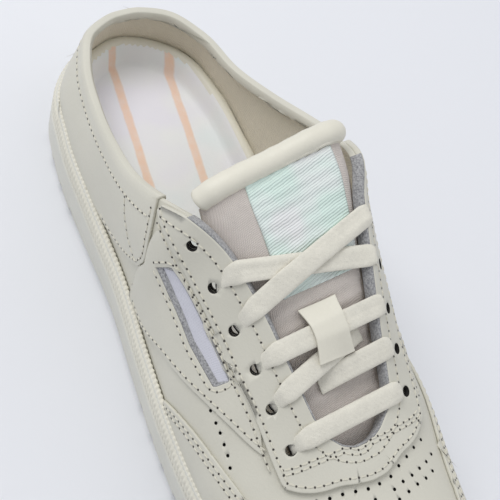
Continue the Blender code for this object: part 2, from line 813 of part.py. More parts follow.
def band(name, start, end, steps, width, thickness, trees, over, finish, home):
    """A flat band laid over what is below a line in plan, and sunk into bands it joins."""
    shares = np.linspace(0, 1, steps * FINE_STEPS + 1)[:, None]
    path = start + (end - start) * shares
    run = np.linalg.norm(path - start, axis=1)
    heading = unit(end - start)
    aside = np.array((-heading[1], heading[0]))
    rails = []
    for rail in (-0.5, 0.0, 0.5):
        heights = np.full(len(path), -1.0)
        for share in np.clip((rail - 0.25, rail, rail + 0.25), -0.5, 0.5):
            places = path + aside * width * share
            heights = np.maximum(heights, heights_over(trees, places) + BAND_CLEARANCE)
            if over:
                heights = np.maximum(heights, heights_over(over, places) - LACE_SINK)
        rails.append(np.c_[path + aside * width * rail, taut(run, heights)])
    points = np.stack(rails, axis=1)[::FINE_STEPS]
    made = surface_grid(name, points, finish, home)
    thicken(made, thickness, 1)
    return made


def eyelet_place(side, number):
    """Place in plan of an eyelet."""
    station, low, high = EYELETS[number]
    if side == "lateral":
        return wall_point(station, low)[:2]
    return wall_point(2 - station, high)[:2]


def make_laces(trees, finish, home, cutters):
    """Lace pieces over the throat and over each other, the runs that cross joined."""
    for name, runs in LACES:
        pieces = []
        for k, (first, last, share) in enumerate(runs):
            start, far = eyelet_place(*first), eyelet_place(*last)
            end = start + (far - start) * share
            over = [tree_of(piece) for piece in pieces]
            label = name if k == 0 else f"{name}_{k}"
            place = home if k == 0 else cutters
            size = (LACE_STEPS, LACE_WIDTH, LACE_THICKNESS)
            pieces.append(band(label, start, end, *size, trees, over, finish, place))
        for piece in pieces[1:]:
            modifier = pieces[0].modifiers.new("join", "BOOLEAN")
            modifier.operation = "UNION"
            modifier.solver = "EXACT"
            modifier.object = piece
            hide_cutter(piece, cutters)
        trees.append(tree_of(pieces[0]))


def make_keeper(trees, finish, home):
    """Strap on the tongue that the middle lace runs under."""
    _, runs = LACES[2]
    start, end = eyelet_place(*runs[0][0]), eyelet_place(*runs[0][1])
    middle = (start + end) / 2
    reach = np.array((KEEPER_LENGTH / 2, 0))
    size = (KEEPER_STEPS, KEEPER_WIDTH, KEEPER_THICKNESS)
    return band("lace_keeper", middle - reach, middle + reach, *size, trees, [], finish, home)


def scene():
    """Build every piece."""
    for old in list(bpy.data.objects):
        bpy.data.objects.remove(old, do_unlink=True)
    home = collection("sneaker_mule")
    cutters = collection("cutters")
    leather = material("chalk_leather", (0.67, 0.65, 0.57), 0.45)
    rubber = material("white_rubber", (0.68, 0.67, 0.62), 0.50)
    cloth = material("window_cloth", (0.62, 0.60, 0.64), 0.80)
    footbed = material("footbed_cloth", (0.80, 0.82, 0.82), 0.75)
    padded = material("tongue_leather", (0.72, 0.70, 0.64), 0.55)
    cotton = material("woven_cotton", (0.77, 0.75, 0.67), 0.85)
    make_outsole(rubber, home, cutters)
    make_midsole(rubber, home)
    make_insole(footbed, home)
    upper = make_upper(leather, home)
    make_heel_counter(leather, home)
    for side in ("lateral", "medial"):
        make_quarter(f"quarter_{side}", side, leather, home)
        make_window(f"window_{side}", side, cloth, home)
    make_toe_guard(leather, home)
    eyestay = make_eyestay(leather, home)
    tongue = make_tongue(padded, home)
    make_tongue_roll(padded, home)
    label = make_label(cloth, home)
    trees = [tree_of(piece) for piece in (upper, eyestay, tongue, label)]
    make_laces(trees, cotton, home, cutters)
    make_keeper(trees, padded, home)
    cut_eyelets([upper, eyestay], cutters)


scene()
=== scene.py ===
"""Looks of the right-foot sneaker mule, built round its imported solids.

Units are metres. X runs from heel to toe, Y towards the inner (medial) side and Z up.
A station runs once round the shoe: 0 at the heel, up the lateral side to 1 at the toe
and back along the medial side to 2. A height runs up the upper's wall: -1 hidden in the
cup sole, 0 at its rim, 1 at the top line, and past 1 it turns over the top line's edge
and runs down the inside.
"""

import math

import bmesh
import bpy
import numpy as np
from mathutils import Matrix, Vector
from mathutils.bvhtree import BVHTree


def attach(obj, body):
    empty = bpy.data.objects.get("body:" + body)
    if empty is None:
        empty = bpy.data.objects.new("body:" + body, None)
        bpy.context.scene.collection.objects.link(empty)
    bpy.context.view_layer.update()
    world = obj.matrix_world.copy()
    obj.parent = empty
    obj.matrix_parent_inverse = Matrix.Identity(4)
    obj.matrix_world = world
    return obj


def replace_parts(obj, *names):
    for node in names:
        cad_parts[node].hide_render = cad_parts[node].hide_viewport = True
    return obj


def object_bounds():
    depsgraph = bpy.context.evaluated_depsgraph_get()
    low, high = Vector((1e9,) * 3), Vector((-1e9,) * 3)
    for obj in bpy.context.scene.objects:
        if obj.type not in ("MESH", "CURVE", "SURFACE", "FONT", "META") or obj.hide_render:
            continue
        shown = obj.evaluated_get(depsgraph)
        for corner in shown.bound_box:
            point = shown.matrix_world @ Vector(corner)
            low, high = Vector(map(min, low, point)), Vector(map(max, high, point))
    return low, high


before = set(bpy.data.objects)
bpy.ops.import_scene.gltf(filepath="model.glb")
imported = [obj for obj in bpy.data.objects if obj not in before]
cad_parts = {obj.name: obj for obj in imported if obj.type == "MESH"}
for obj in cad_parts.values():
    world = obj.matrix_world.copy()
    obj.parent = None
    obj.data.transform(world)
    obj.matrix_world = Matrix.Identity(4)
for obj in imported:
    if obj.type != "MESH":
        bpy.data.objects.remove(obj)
CAD_LOW, CAD_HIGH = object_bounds()

# Overall sizes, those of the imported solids
LENGTH = CAD_HIGH.x - CAD_LOW.x
BALL_WIDTH = CAD_HIGH.y - CAD_LOW.y
INSTEP_HEIGHT = 0.090

# Sole
RIM_HEIGHT = 0.032
FLOOR_HEIGHT = 0.0205
TOE_SPRING = 0.008
OUTSOLE_THICKNESS = 0.0045
CUP_WALL = 0.0032
BAND_HEIGHT = 0.0100
BAND_STEP = 0.0005
EDGE_INSET = 0.0012
WALL_FOOT = 0.0030
RIM_ROUNDING = 0.0010

# Upper and its overlays
LEATHER = 0.0020
OVERLAY = 0.0011
EYESTAY = 0.0015
EYELET_RADIUS = 0.0019

# Insole and tongue
INSOLE_THICKNESS = 0.0055
INSOLE_LIP = 0.0072
TONGUE_THICKNESS = 0.0035
ROLL_RADIUS = 0.0040

# Laces
LACE_WIDTH = 0.0070
LACE_THICKNESS = 0.0016
KEEPER_WIDTH = 0.0140
KEEPER_LENGTH = 0.0150
KEEPER_THICKNESS = 0.0008

# Air between pieces
GAP = 0.0003
TONGUE_CLEARANCE = 0.0008

HALF_LENGTH = LENGTH / 2
HALF_WIDTH = BALL_WIDTH / 2
UPPER_INSET = CUP_WALL + GAP
INSOLE_INSET = UPPER_INSET + LEATHER + GAP

# Looks: the wall's rounded top edge and the fine grids of its pieces
TURN = 0.12
COLLAR_END = 0.372
COLLAR_TURN = 1 + TURN + 0.06
SHELL_STATIONS = 420
SOLE_STATIONS = 420
PATTERN_GRID = (0.008, 0.045)
EDGE_PITCH = 0.0015
OVERLAY_ROUNDING = 0.00035
STAY_ROUNDING = 0.00045
SKIN_LIFT = 0.0001
CLOTH_LIFT = 0.00005
CLOTH_THICKNESS = 0.0002
STAY_THICKNESS = EYESTAY + 0.0006
THROAT_EDGE_START = 0.405

# Cup of the sole: straight runs kept beside its bends, their radius, and how far it stays
# under the ribbed band's face
CUP_SHOULDER = 0.0020
CUP_ROUNDING = 0.0012
BAND_BACKING = 0.0006

# Ribbed band of the sole
RIB_PITCH = 0.0019
RIB_ROWS = 3
RIB_STEPS = 8
RIB_HEIGHT = 0.00045

# Footbed's rim and printed stripes
FOOTBED_RIM = 0.0037
FOOTBED_DISH = 0.0040
STRIPE_SLANT = 0.155
STRIPE_MIDDLES = (-0.0187, 0.0036)
STRIPE_HALF = 0.0013
STRIPE_COLOUR = (0.90, 0.60, 0.42)
FOOTBED_TINTS = (
    (0.36, (0.79, 0.86, 0.85)),
    (0.50, (0.86, 0.86, 0.85)),
    (0.64, (0.84, 0.82, 0.87)),
)

# Tongue and label
TONGUE_DROP = 0.0012
LABEL_RIB_SLANT = 0.25
LABEL_RIB_PITCH = 0.00085

# Laces
LACE_STEP = 0.0004
LACE_AROUND = 48
LACE_COLUMNS = 4
LACE_RIDGE = 0.0018
LACE_RELIEF = 0.00016
LACE_CLEARANCE = 0.0001
LACE_DRAPED = 0.8
LACE_SMOOTHING = 9
LACE_ZIGZAG = 1.15
LACE_TIP_WIDTH = 0.62
LACE_TIP_THICKNESS = 1.35
LACE_TUCKED = 0.45
EYELET_DIVE = 0.0030
EYELET_DEPTH = 0.0040
KEEPER_SHIFT = np.array((0.0, 0.0))

# Stitches and punched holes
STITCH_PITCH = 0.0029
THREAD_RADIUS = 0.00036
THREAD_RISE = 0.00022
NEEDLE_RADIUS = 0.00042
SEAM_INSET = 0.0018
THROAT_SEAM = 0.0026
COLLAR_SEAM = 0.0050
PIN_RADIUS = 0.0006
PIN_PITCH = 0.0046
PIN_DEPTH = 0.0013

# Raw border of the windows: widths at its back, front, foot and head in stations and
# heights, then its section as shares of the width with heights over the wall
WINDOW_BORDER = (0.005, 0.002, 0.040, 0.012)
BORDER_SECTION = (
    (0.0, 0.0009),
    (0.25, 0.0008),
    (0.6, 0.0006),
    (1.0, 0.00045),
    (1.0, 0.0001),
    (0.0, 0.0001),
)

# Camera: azimuth, elevation and roll in degrees, focal length in pixels, place
CAMERA_ANGLES = (-54.03, 59.14, 29.61)
CAMERA_FOCAL = 1002.9
CAMERA_PLACE = (0.0860, -0.1429, 0.3526)
IMAGE_SIZE = 500

# Light: name, place, size and power of each lamp
LAMPS = (
    ("key", (-0.55, -0.25, 1.00), 0.70, 6.0),
    ("fill", (0.30, 0.60, 0.90), 1.20, 1.6),
)
SKY_COLOUR = (0.93, 0.95, 1.0)
SKY_STRENGTH = 0.55
FLOOR_COLOUR = (0.83, 0.84, 0.87)

# Colours
CHALK = (0.66, 0.64, 0.55)
ROLL_COLOUR = (0.78, 0.75, 0.64)
LINING_COLOUR = (0.74, 0.68, 0.55)
TONGUE_COLOUR = (0.66, 0.60, 0.55)
WINDOW_COLOUR = (0.66, 0.66, 0.72)
RUBBER = (0.70, 0.69, 0.62)
BAND_COLOUR = (0.80, 0.77, 0.66)
LACE_COLOUR = (0.79, 0.76, 0.66)
THREAD_COLOUR = (0.72, 0.69, 0.58)
LABEL_COLOUR = (0.84, 0.85, 0.84)
LABEL_TINT = (0.70, 0.86, 0.78)
FOOTBED_COLOUR = (0.85, 0.86, 0.86)
RAW_EDGE_COLOUR = (0.50, 0.50, 0.50)
RAW_EDGE_DARK = (0.20, 0.20, 0.21)
# Painted shade: flat dark discs that stand for the needle holes
NEEDLE_SHADE_COLOUR = (0.060, 0.052, 0.045)
# Painted shade: near-black walls and floors of the punched eyelets and pinholes
HOLE_SHADE_COLOUR = (0.022, 0.020, 0.018)

# Rough lengths of a unit of station and of a unit of height on the wall.
STATION_SPAN = LENGTH * 1.15
HEIGHT_SPAN = INSTEP_HEIGHT * 0.6

# Sole outline: distance from the heel as a share of the length, half widths as shares
# of half the ball width.
OUTLINE = (
    # along, lateral, medial
    (0.018, 0.328, 0.328),
    (0.070, 0.647, 0.642),
    (0.150, 0.773, 0.758),
    (0.260, 0.824, 0.783),
    (0.370, 0.859, 0.778),
    (0.480, 0.952, 0.844),
    (0.590, 1.029, 0.920),
    (0.690, 1.056, 0.945),
    (0.800, 0.995, 0.824),
    (0.890, 0.778, 0.692),
    (0.950, 0.566, 0.551),
    (0.986, 0.303, 0.369),
)
TOE_SHIFT = 0.06

# Heights along the sole, as shares of the toe spring, floor height, rim height and
# insole lip.
SOLE_LEVELS = (
    # along, bottom, floor, rim, lip
    (0.00, 0.10, 1.00, 1.000, 1.00),
    (0.06, 0.00, 1.00, 1.000, 1.00),
    (0.15, 0.00, 1.00, 0.985, 0.97),
    (0.20, 0.00, 0.98, 0.952, 0.91),
    (0.26, 0.05, 0.93, 0.915, 0.82),
    (0.38, 0.12, 0.80, 0.858, 0.62),
    (0.50, 0.05, 0.68, 0.850, 0.35),
    (0.62, 0.00, 0.62, 0.860, 0.15),
    (0.72, 0.00, 0.62, 0.890, 0.08),
    (0.82, 0.25, 0.68, 0.945, 0.06),
    (0.92, 0.62, 0.83, 1.030, 0.06),
    (1.00, 1.00, 0.98, 1.110, 0.06),
)

# Top line: the collar, the throat's two edges and the throat's front end. Along is a
# share of the length, widths of half the ball width and heights of the instep height.
# The slope, in degrees, is the one at which the wall reaches the line. Rise and reach
# say how far the wall keeps its first and last direction.
TOP_LINE = (
    # station, along, lateral width, height, slope, medial width, height, slope, rise, reach
    (0.000, 0.027, 0.000, 0.573, 86, 0.000, 0.573, 86, 0.34, 0.34),
    (0.040, 0.031, 0.157, 0.574, 86, 0.172, 0.574, 86, 0.34, 0.34),
    (0.080, 0.049, 0.359, 0.568, 86, 0.399, 0.568, 86, 0.34, 0.34),
    (0.125, 0.093, 0.495, 0.568, 86, 0.571, 0.563, 86, 0.34, 0.34),
    (0.197, 0.168, 0.606, 0.594, 84, 0.662, 0.583, 84, 0.34, 0.34),
    (0.262, 0.241, 0.679, 0.665, 82, 0.733, 0.672, 82, 0.34, 0.34),
    (0.325, 0.316, 0.720, 0.775, 76, 0.783, 0.800, 76, 0.34, 0.34),
    (0.368, 0.366, 0.687, 0.872, 66, 0.768, 0.905, 68, 0.34, 0.36),
    (0.408, 0.409, 0.591, 0.938, 54, 0.707, 0.985, 56, 0.34, 0.38),
    (0.457, 0.459, 0.445, 0.902, 46, 0.581, 0.955, 46, 0.35, 0.40),
    (0.510, 0.522, 0.354, 0.825, 41, 0.485, 0.880, 40, 0.36, 0.42),
    (0.600, 0.600, 0.293, 0.728, 36, 0.404, 0.752, 36, 0.36, 0.44),
    (0.690, 0.670, 0.243, 0.642, 28, 0.334, 0.645, 28, 0.34, 0.48),
    (0.780, 0.697, 0.160, 0.612, 20, 0.212, 0.612, 20, 0.32, 0.52),
    (0.880, 0.709, 0.071, 0.604, 14, 0.101, 0.604, 14, 0.30, 0.55),
    (1.000, 0.711, 0.010, 0.602, 12, 0.010, 0.602, 12, 0.30, 0.56),
)

# Pattern edges on the wall as (station, height). Those of one side also serve the
# other, whose stations are counted back from 2.
EYESTAY_EDGE = (
    (0.376, 0.945),
    (0.390, 0.870),
    (0.417, 0.795),
    (0.455, 0.740),
    (0.505, 0.722),
    (0.560, 0.712),
    (0.620, 0.712),
    (0.672, 0.690),
    (0.712, 0.668),
)
EYESTAY_FRONT = (
    (0.712, 0.668),
    (0.760, 0.755),
    (0.820, 0.850),
    (0.900, 0.895),
    (1.000, 0.905),
)
HEEL_FRONT = (
    (0.366, 1.000),
    (0.378, 0.870),
    (0.393, 0.683),
    (0.403, 0.500),
    (0.397, 0.390),
)
HEEL_LOWER = (
    (0.397, 0.390),
    (0.370, 0.250),
    (0.340, 0.142),
    (0.310, 0.065),
    (0.283, 0.020),
)
QUARTER_LOWER = (
    (0.412, 0.020),
    (0.440, 0.050),
    (0.492, 0.233),
    (0.530, 0.342),
    (0.562, 0.433),
    (0.610, 0.548),
    (0.638, 0.605),
    (0.660, 0.655),
)
TOE_GUARD_EDGE = (
    (0.530, 0.020),
    (0.545, 0.110),
    (0.575, 0.225),
    (0.633, 0.350),
    (0.720, 0.445),
    (0.850, 0.450),
    (1.000, 0.430),
)
WINDOW = (
    (0.420, 0.585),
    (0.432, 0.690),
    (0.455, 0.685),
    (0.510, 0.672),
    (0.566, 0.668),
    (0.560, 0.548),
    (0.505, 0.515),
    (0.450, 0.545),
)
# Eyelets as station, then the height on the lateral and on the medial side.
EYELETS = (
    (0.430, 0.895, 0.900),
    (0.475, 0.842, 0.870),
    (0.520, 0.825, 0.860),
    (0.573, 0.835, 0.860),
    (0.625, 0.820, 0.845),
    (0.683, 0.815, 0.840),
)

# Tongue sections from its top edge to its front end: station of the throat edge, the
# height its sides reach down to and its crown as a share of its width. The setbacks
# carry its top edge beyond the throat, as shares of the length.
TONGUE = (
    # share, station, side height, crown, lateral setback, medial setback
    (0.00, 0.432, 0.960, 0.045, 0.028, 0.046),
    (0.14, 0.440, 0.930, 0.040, 0.004, 0.008),
    (0.30, 0.480, 0.880, 0.035, 0.000, 0.000),
    (0.50, 0.540, 0.850, 0.030, 0.000, 0.000),
    (0.70, 0.610, 0.840, 0.025, 0.000, 0.000),
    (0.86, 0.680, 0.820, 0.015, 0.000, 0.000),
    (1.00, 0.740, 0.780, 0.000, -0.036, -0.036),
)
TONGUE_PITCH = 0.40

# The label's sides on the tongue, whose own sides lie at -1 and 1.
LABEL_SIDES = (-0.40, 0.66)

# Lace runs: piece, node it shows, first and last eyelet, share laid, tucked end
LACES = (
    ("lace_front_bar", "lace_front", ("lateral", 5), ("medial", 5), 1.00, 0.0),
    ("lace_lower_left", "lace_lower", ("medial", 4), ("lateral", 4), 0.64, 0.006),
    ("lace_lower_right", "lace_lower", ("lateral", 4), ("medial", 3), 0.74, 0.006),
    ("lace_middle_bar", "lace_middle", ("lateral", 3), ("medial", 3), 1.00, 0.0),
    ("lace_upper_first", "lace_upper", ("lateral", 1), ("medial", 2), 1.00, 0.0),
    ("lace_upper_second", "lace_upper", ("lateral", 2), ("medial", 1), 1.00, 0.0),
)

# Rows of stitches and of punched holes, as (station, height)
BAR_ROW = (
    (0.700, 0.708),
    (0.735, 0.850),
    (0.810, 0.967),
    (0.900, 0.975),
    (1.000, 0.978),
    (1.133, 0.975),
    (1.230, 0.883),
    (1.285, 0.717),
)
VAMP_ROWS = (
    (
        (0.760, 0.690),
        (0.778, 0.745),
        (0.810, 0.800),
        (0.845, 0.842),
        (0.888, 0.870),
        (0.940, 0.883),
        (1.000, 0.888),
    ),
    (
        (0.775, 0.608),
        (0.795, 0.667),
        (0.823, 0.733),
        (0.863, 0.792),
        (0.905, 0.833),
        (0.960, 0.852),
    ),
    ((0.810, 0.642), (0.840, 0.708), (0.875, 0.767), (0.922, 0.808), (0.965, 0.822)),
)
SIDE_HOLES = ((0.578, 0.450), (0.593, 0.450), (0.605, 0.450), (0.618, 0.442), (0.630, 0.433), (0.642, 0.408))
HEEL_DOTS = ((0.330, 0.800), (0.345, 0.620), (0.368, 0.460), (0.392, 0.385))


def along_table(table, keys):
    """Smooth values of a table whose first column is the key, one row for each of keys."""
    table = np.array(table, float)
    x, y = table[:, 0], table[:, 1:]
    keys = np.clip(np.atleast_1d(np.asarray(keys, float)), x[0], x[-1])
    slope = np.gradient(y, x, axis=0)
    i = np.clip(np.searchsorted(x, keys, side="right") - 1, 0, len(x) - 2)
    h = (x[i + 1] - x[i])[:, None]
    s = ((keys - x[i]) / (x[i + 1] - x[i]))[:, None]
    start = (1 + 2 * s) * (1 - s) ** 2 * y[i] + s * (1 - s) ** 2 * h * slope[i]
    end = s**2 * (3 - 2 * s) * y[i + 1] + s**2 * (s - 1) * h * slope[i + 1]
    return start + end


def closed_table(keys, rows):
    """A table round the shoe, with a few rows repeated past each end to close it."""
    tail = np.c_[keys[-4:-1] - 2, rows[-4:-1]]
    head = np.c_[keys[1:4] + 2, rows[1:4]]
    return np.vstack([tail, np.c_[keys, rows], head])


def outline_loop():
    """The sole outline round the shoe, keyed by station."""
    lateral = [(a, -w) for a, w, _ in OUTLINE]
    medial = [(a, w) for a, _, w in reversed(OUTLINE)]
    points = np.array([(0, 0)] + lateral + [(1, TOE_SHIFT)] + medial + [(0, 0)])
    points = points * (LENGTH, HALF_WIDTH) - (HALF_LENGTH, 0)
    run = np.r_[0, np.cumsum(np.linalg.norm(np.diff(points, axis=0), axis=1))]
    toe = run[len(lateral) + 1]
    keys = np.where(run <= toe, run / toe, 1 + (run - toe) / (run[-1] - toe))
    return closed_table(keys, points)


def off_centre(loop):
    """How far the middle of a closed table's places lies from the origin."""
    places = along_table(loop, np.linspace(0, 2, 800))
    return (places.min(axis=0) + places.max(axis=0)) / 2


def top_loop():
    """The top line round the shoe: place, slope, rise and reach, keyed by station."""
    rows = np.array(TOP_LINE, float)
    x = rows[:, 1] * LENGTH - HALF_LENGTH - MIDDLE[0]
    wide = rows[:, (2, 5)] * HALF_WIDTH
    high = rows[:, (3, 6)] * INSTEP_HEIGHT
    lateral = np.c_[x, -wide[:, 0] - MIDDLE[1], high[:, 0], rows[:, (4, 8, 9)]]
    medial = np.c_[x, wide[:, 1] - MIDDLE[1], high[:, 1], rows[:, (7, 8, 9)]]
    keys = np.r_[rows[:, 0], 2 - rows[-2::-1, 0]]
    return closed_table(keys, np.vstack([lateral[:-1], medial[::-1]]))


OUTLINE_LOOP = outline_loop()
MIDDLE = off_centre(OUTLINE_LOOP)
OUTLINE_LOOP[:, 1:] -= MIDDLE
TOP_LOOP = top_loop()


def outline(station, inset=0.0):
    """Points of the sole outline in plan, moved inwards."""
    station = np.mod(np.atleast_1d(np.asarray(station, float)), 2)
    point = along_table(OUTLINE_LOOP, station)
    step = 0.004
    run = along_table(OUTLINE_LOOP, station + step) - along_table(OUTLINE_LOOP, station - step)
    run /= np.linalg.norm(run, axis=1)[:, None]
    return point + np.c_[-run[:, 1], run[:, 0]] * np.reshape(inset, (-1, 1))


def levels(x):
    """Heights of the sole's bottom, floor and rim and of the insole's lip at each x."""
    share = along_table(SOLE_LEVELS, np.asarray(x) / LENGTH + 0.5).clip(min=0)
    return share * (TOE_SPRING, FLOOR_HEIGHT, RIM_HEIGHT, INSOLE_LIP)


def unit(vectors):
    """Vectors of length one."""
    return vectors / np.linalg.norm(vectors, axis=-1, keepdims=True)


def wall_point(station, height):
    """Points of the upper's outer surface."""
    station, height = np.broadcast_arrays(
        np.asarray(station, float), np.asarray(height, float)
    )
    shape = station.shape
    station, height = np.mod(station.ravel(), 2), height.ravel()
    foot = outline(station, UPPER_INSET)
    low = levels(foot[:, 0])
    start = np.c_[foot, low[:, 2]]
    top = along_table(TOP_LOOP, station)
    end = top[:, :3]
    inward = outline(station, 1) - outline(station)
    heading = unit((end - start)[:, :2] + inward * 0.006)
    slope = np.radians(top[:, 3:4])
    direction = np.c_[heading * np.cos(slope), np.sin(slope)]
    span = np.linalg.norm(end - start, axis=1)[:, None]
    first = start + np.array((0, 0, 1)) * span * top[:, 4:5]
    last = end - direction * span * top[:, 5:6]
    s = np.clip(height, 0, None)[:, None]
    r = 1 - s
    point = r**3 * start + 3 * s * r**2 * first + 3 * s**2 * r * last + s**3 * end
    point[:, 2] += np.clip(height, -1, 0) * (low[:, 2] - low[:, 1] - GAP)
    return point.reshape(shape + (3,))


def upper_point(station, height, lift=0.0):
    """Points of the upper's outer surface, lifted off it along its normal."""
    step = 0.002
    along = wall_point(station + step, height) - wall_point(station - step, height)
    up = wall_point(station, height + step) - wall_point(station, height - step)
    return wall_point(station, height) + unit(np.cross(along, up)) * lift


def smooth_edge(points, steps):
    """A smooth run through pattern points, with about the given number of steps."""
    points = np.array(points, float)
    size = np.diff(points, axis=0) * (STATION_SPAN, HEIGHT_SPAN)
    run = np.r_[0, np.cumsum(np.linalg.norm(size, axis=1))]
    return along_table(np.c_[run, points], np.linspace(0, run[-1], steps + 1))


def mirrored(points):
    """Pattern points on the other side of the shoe, in reverse order."""
    return [(2 - station, height) for station, height in reversed(points)]


def tongue_section(along):
    """Points across the tongue at a share of its length, keyed from -1 to 1."""
    station, side, crown, back_lateral, back_medial = along_table(TONGUE, along)[0]
    edges = []
    for turn, back in ((station, back_lateral), (2 - station, back_medial)):
        shift = np.array((-back, 0, back * TONGUE_PITCH)) * LENGTH
        heights = np.array((side, (side + 1) / 2, 1))
        edges.append(upper_point(np.full(3, turn), heights, -(LEATHER + TONGUE_CLEARANCE)) + shift)
    lateral, medial = edges
    width = np.linalg.norm(medial[2] - lateral[2])
    middle = (lateral[2] + medial[2]) / 2 + np.array((0, 0, width * crown))
    points = np.vstack([lateral, [middle], medial[::-1]])
    run = np.r_[0, np.cumsum(np.linalg.norm(np.diff(points, axis=0), axis=1))]
    return np.c_[2 * run / run[-1] - 1, points]


def tongue_point(across, along, lift=0.0):
    """Points of the tongue's upper surface: across runs from -1 to 1, along from 0 to 1."""
    across, along = np.broadcast_arrays(np.asarray(across, float), np.asarray(along, float))
    result = np.empty(across.shape + (3,))
    for share in np.unique(along):
        chosen = along == share
        result[chosen] = along_table(tongue_section(share), across[chosen])
    result[..., 2] += lift
    return result


def heights_over(trees, places):
    """Highest point of any of the trees' surfaces at each place in plan."""
    result = np.full(len(places), -1.0)
    for k, (x, y) in enumerate(places):
        for tree in trees:
            hit = tree.ray_cast(Vector((x, y, 0.3)), Vector((0, 0, -1)))[0]
            if hit:
                result[k] = max(result[k], hit.z)
    return result


def taut(run, heights):
    """Heights of a band pulled tight over a run of heights."""
    kept = []
    for point in zip(run, heights):
        while len(kept) > 1:
            (x0, z0), (x1, z1) = kept[-2:]
            if (z1 - z0) * (point[0] - x0) > (point[1] - z0) * (x1 - x0):
                break
            kept.pop()
        kept.append(point)
    kept = np.array(kept)
    return np.interp(run, kept[:, 0], kept[:, 1])


def skin(station, height, lift=0.0):
    """Points of the wall, inside and out, lifted off it. Heights past 1 turn over its edge."""
    station, height, lift = np.broadcast_arrays(
        np.asarray(station, float), np.asarray(height, float), np.asarray(lift, float)
    )
    level = np.where(height <= 1, height, np.where(height < 1 + TURN, 1.0, 2 + TURN - height))
    step = 0.002
    along = wall_point(station + step, level) - wall_point(station - step, level)
    up = unit(wall_point(station, level + step) - wall_point(station, level - step))
    normal = unit(np.cross(along, up))
    angle = (np.clip((height - 1) / TURN, 0, 1) * math.pi)[..., None]
    half = LEATHER / 2
    rounded = edge_rounding(station)[..., None]
    out = np.cos(angle) * normal + np.sin(angle) * up * rounded
    return wall_point(station, level) - normal * half + out * (half + lift[..., None])


def edge_rounding(station):
    """How round the wall's top edge is: 1 along the collar, small along the cut throat."""
    turn = np.mod(station, 2)
    turn = np.minimum(turn, 2 - turn)
    share = np.clip((turn - COLLAR_END) / 0.03, 0, 1)
    return 1 - 0.9 * share * share * (3 - 2 * share)


def surface_normal(station, height):
    """Outward normals of the wall."""
    return unit(skin(station, height, 0.001) - skin(station, height, 0.0))


def resampled(curve, pitch, closed=False):
    """A (station, height) curve with points a given distance apart on the wall."""
    curve = np.array(curve, float)
    if closed:
        curve = np.vstack([curve, curve[:1]])
    fine = [curve[0]]
    for a, b in zip(curve[:-1], curve[1:]):
        fine += [a + (b - a) * t for t in np.linspace(0, 1, 9)[1:]]
    fine = np.array(fine)
    places = skin(fine[:, 0], fine[:, 1])
    run = np.r_[0, np.cumsum(np.linalg.norm(np.diff(places, axis=0), axis=1))]
    count = max(2, int(round(run[-1] / pitch)))
    wanted = np.linspace(0, run[-1], count + 1)
    if closed:
        wanted = wanted[:-1]
    return np.c_[np.interp(wanted, run, fine[:, 0]), np.interp(wanted, run, fine[:, 1])]


def offset_curve(curve, distance):
    """A (station, height) curve moved sideways on the wall, to the left for a distance above 0."""
    curve = np.array(curve, float)
    s, h = curve.T
    place = skin(s, h)
    ahead = unit(np.gradient(place, axis=0))
    normal = surface_normal(s, h)
    aside = np.cross(normal, ahead) * distance
    step = 0.002
    by_station = (skin(s + step, h) - skin(s - step, h)) / (2 * step)
    by_height = (skin(s, h + step) - skin(s, h - step)) / (2 * step)
    aa = (by_station**2).sum(1)
    bb = (by_height**2).sum(1)
    ab = (by_station * by_height).sum(1)
    pa = (aside * by_station).sum(1)
    pb = (aside * by_height).sum(1)
    det = aa * bb - ab**2
    return np.c_[s + (pa * bb - pb * ab) / det, h + (pb * aa - pa * ab) / det]


def shaded(name, colour, roughness, coat=0.0, sheen=0.0, specular=0.5):
    """A Principled material with its plain values set."""
    made = bpy.data.materials.new(name)
    made.use_nodes = True
    shader = made.node_tree.nodes["Principled BSDF"]
    shader.inputs["Base Color"].default_value = (*colour, 1)
    shader.inputs["Roughness"].default_value = roughness
    shader.inputs["Coat Weight"].default_value = coat
    shader.inputs["Coat Roughness"].default_value = 0.35
    shader.inputs["Sheen Weight"].default_value = sheen
    shader.inputs["Sheen Roughness"].default_value = 0.5
    shader.inputs["Specular IOR Level"].default_value = specular
    return made


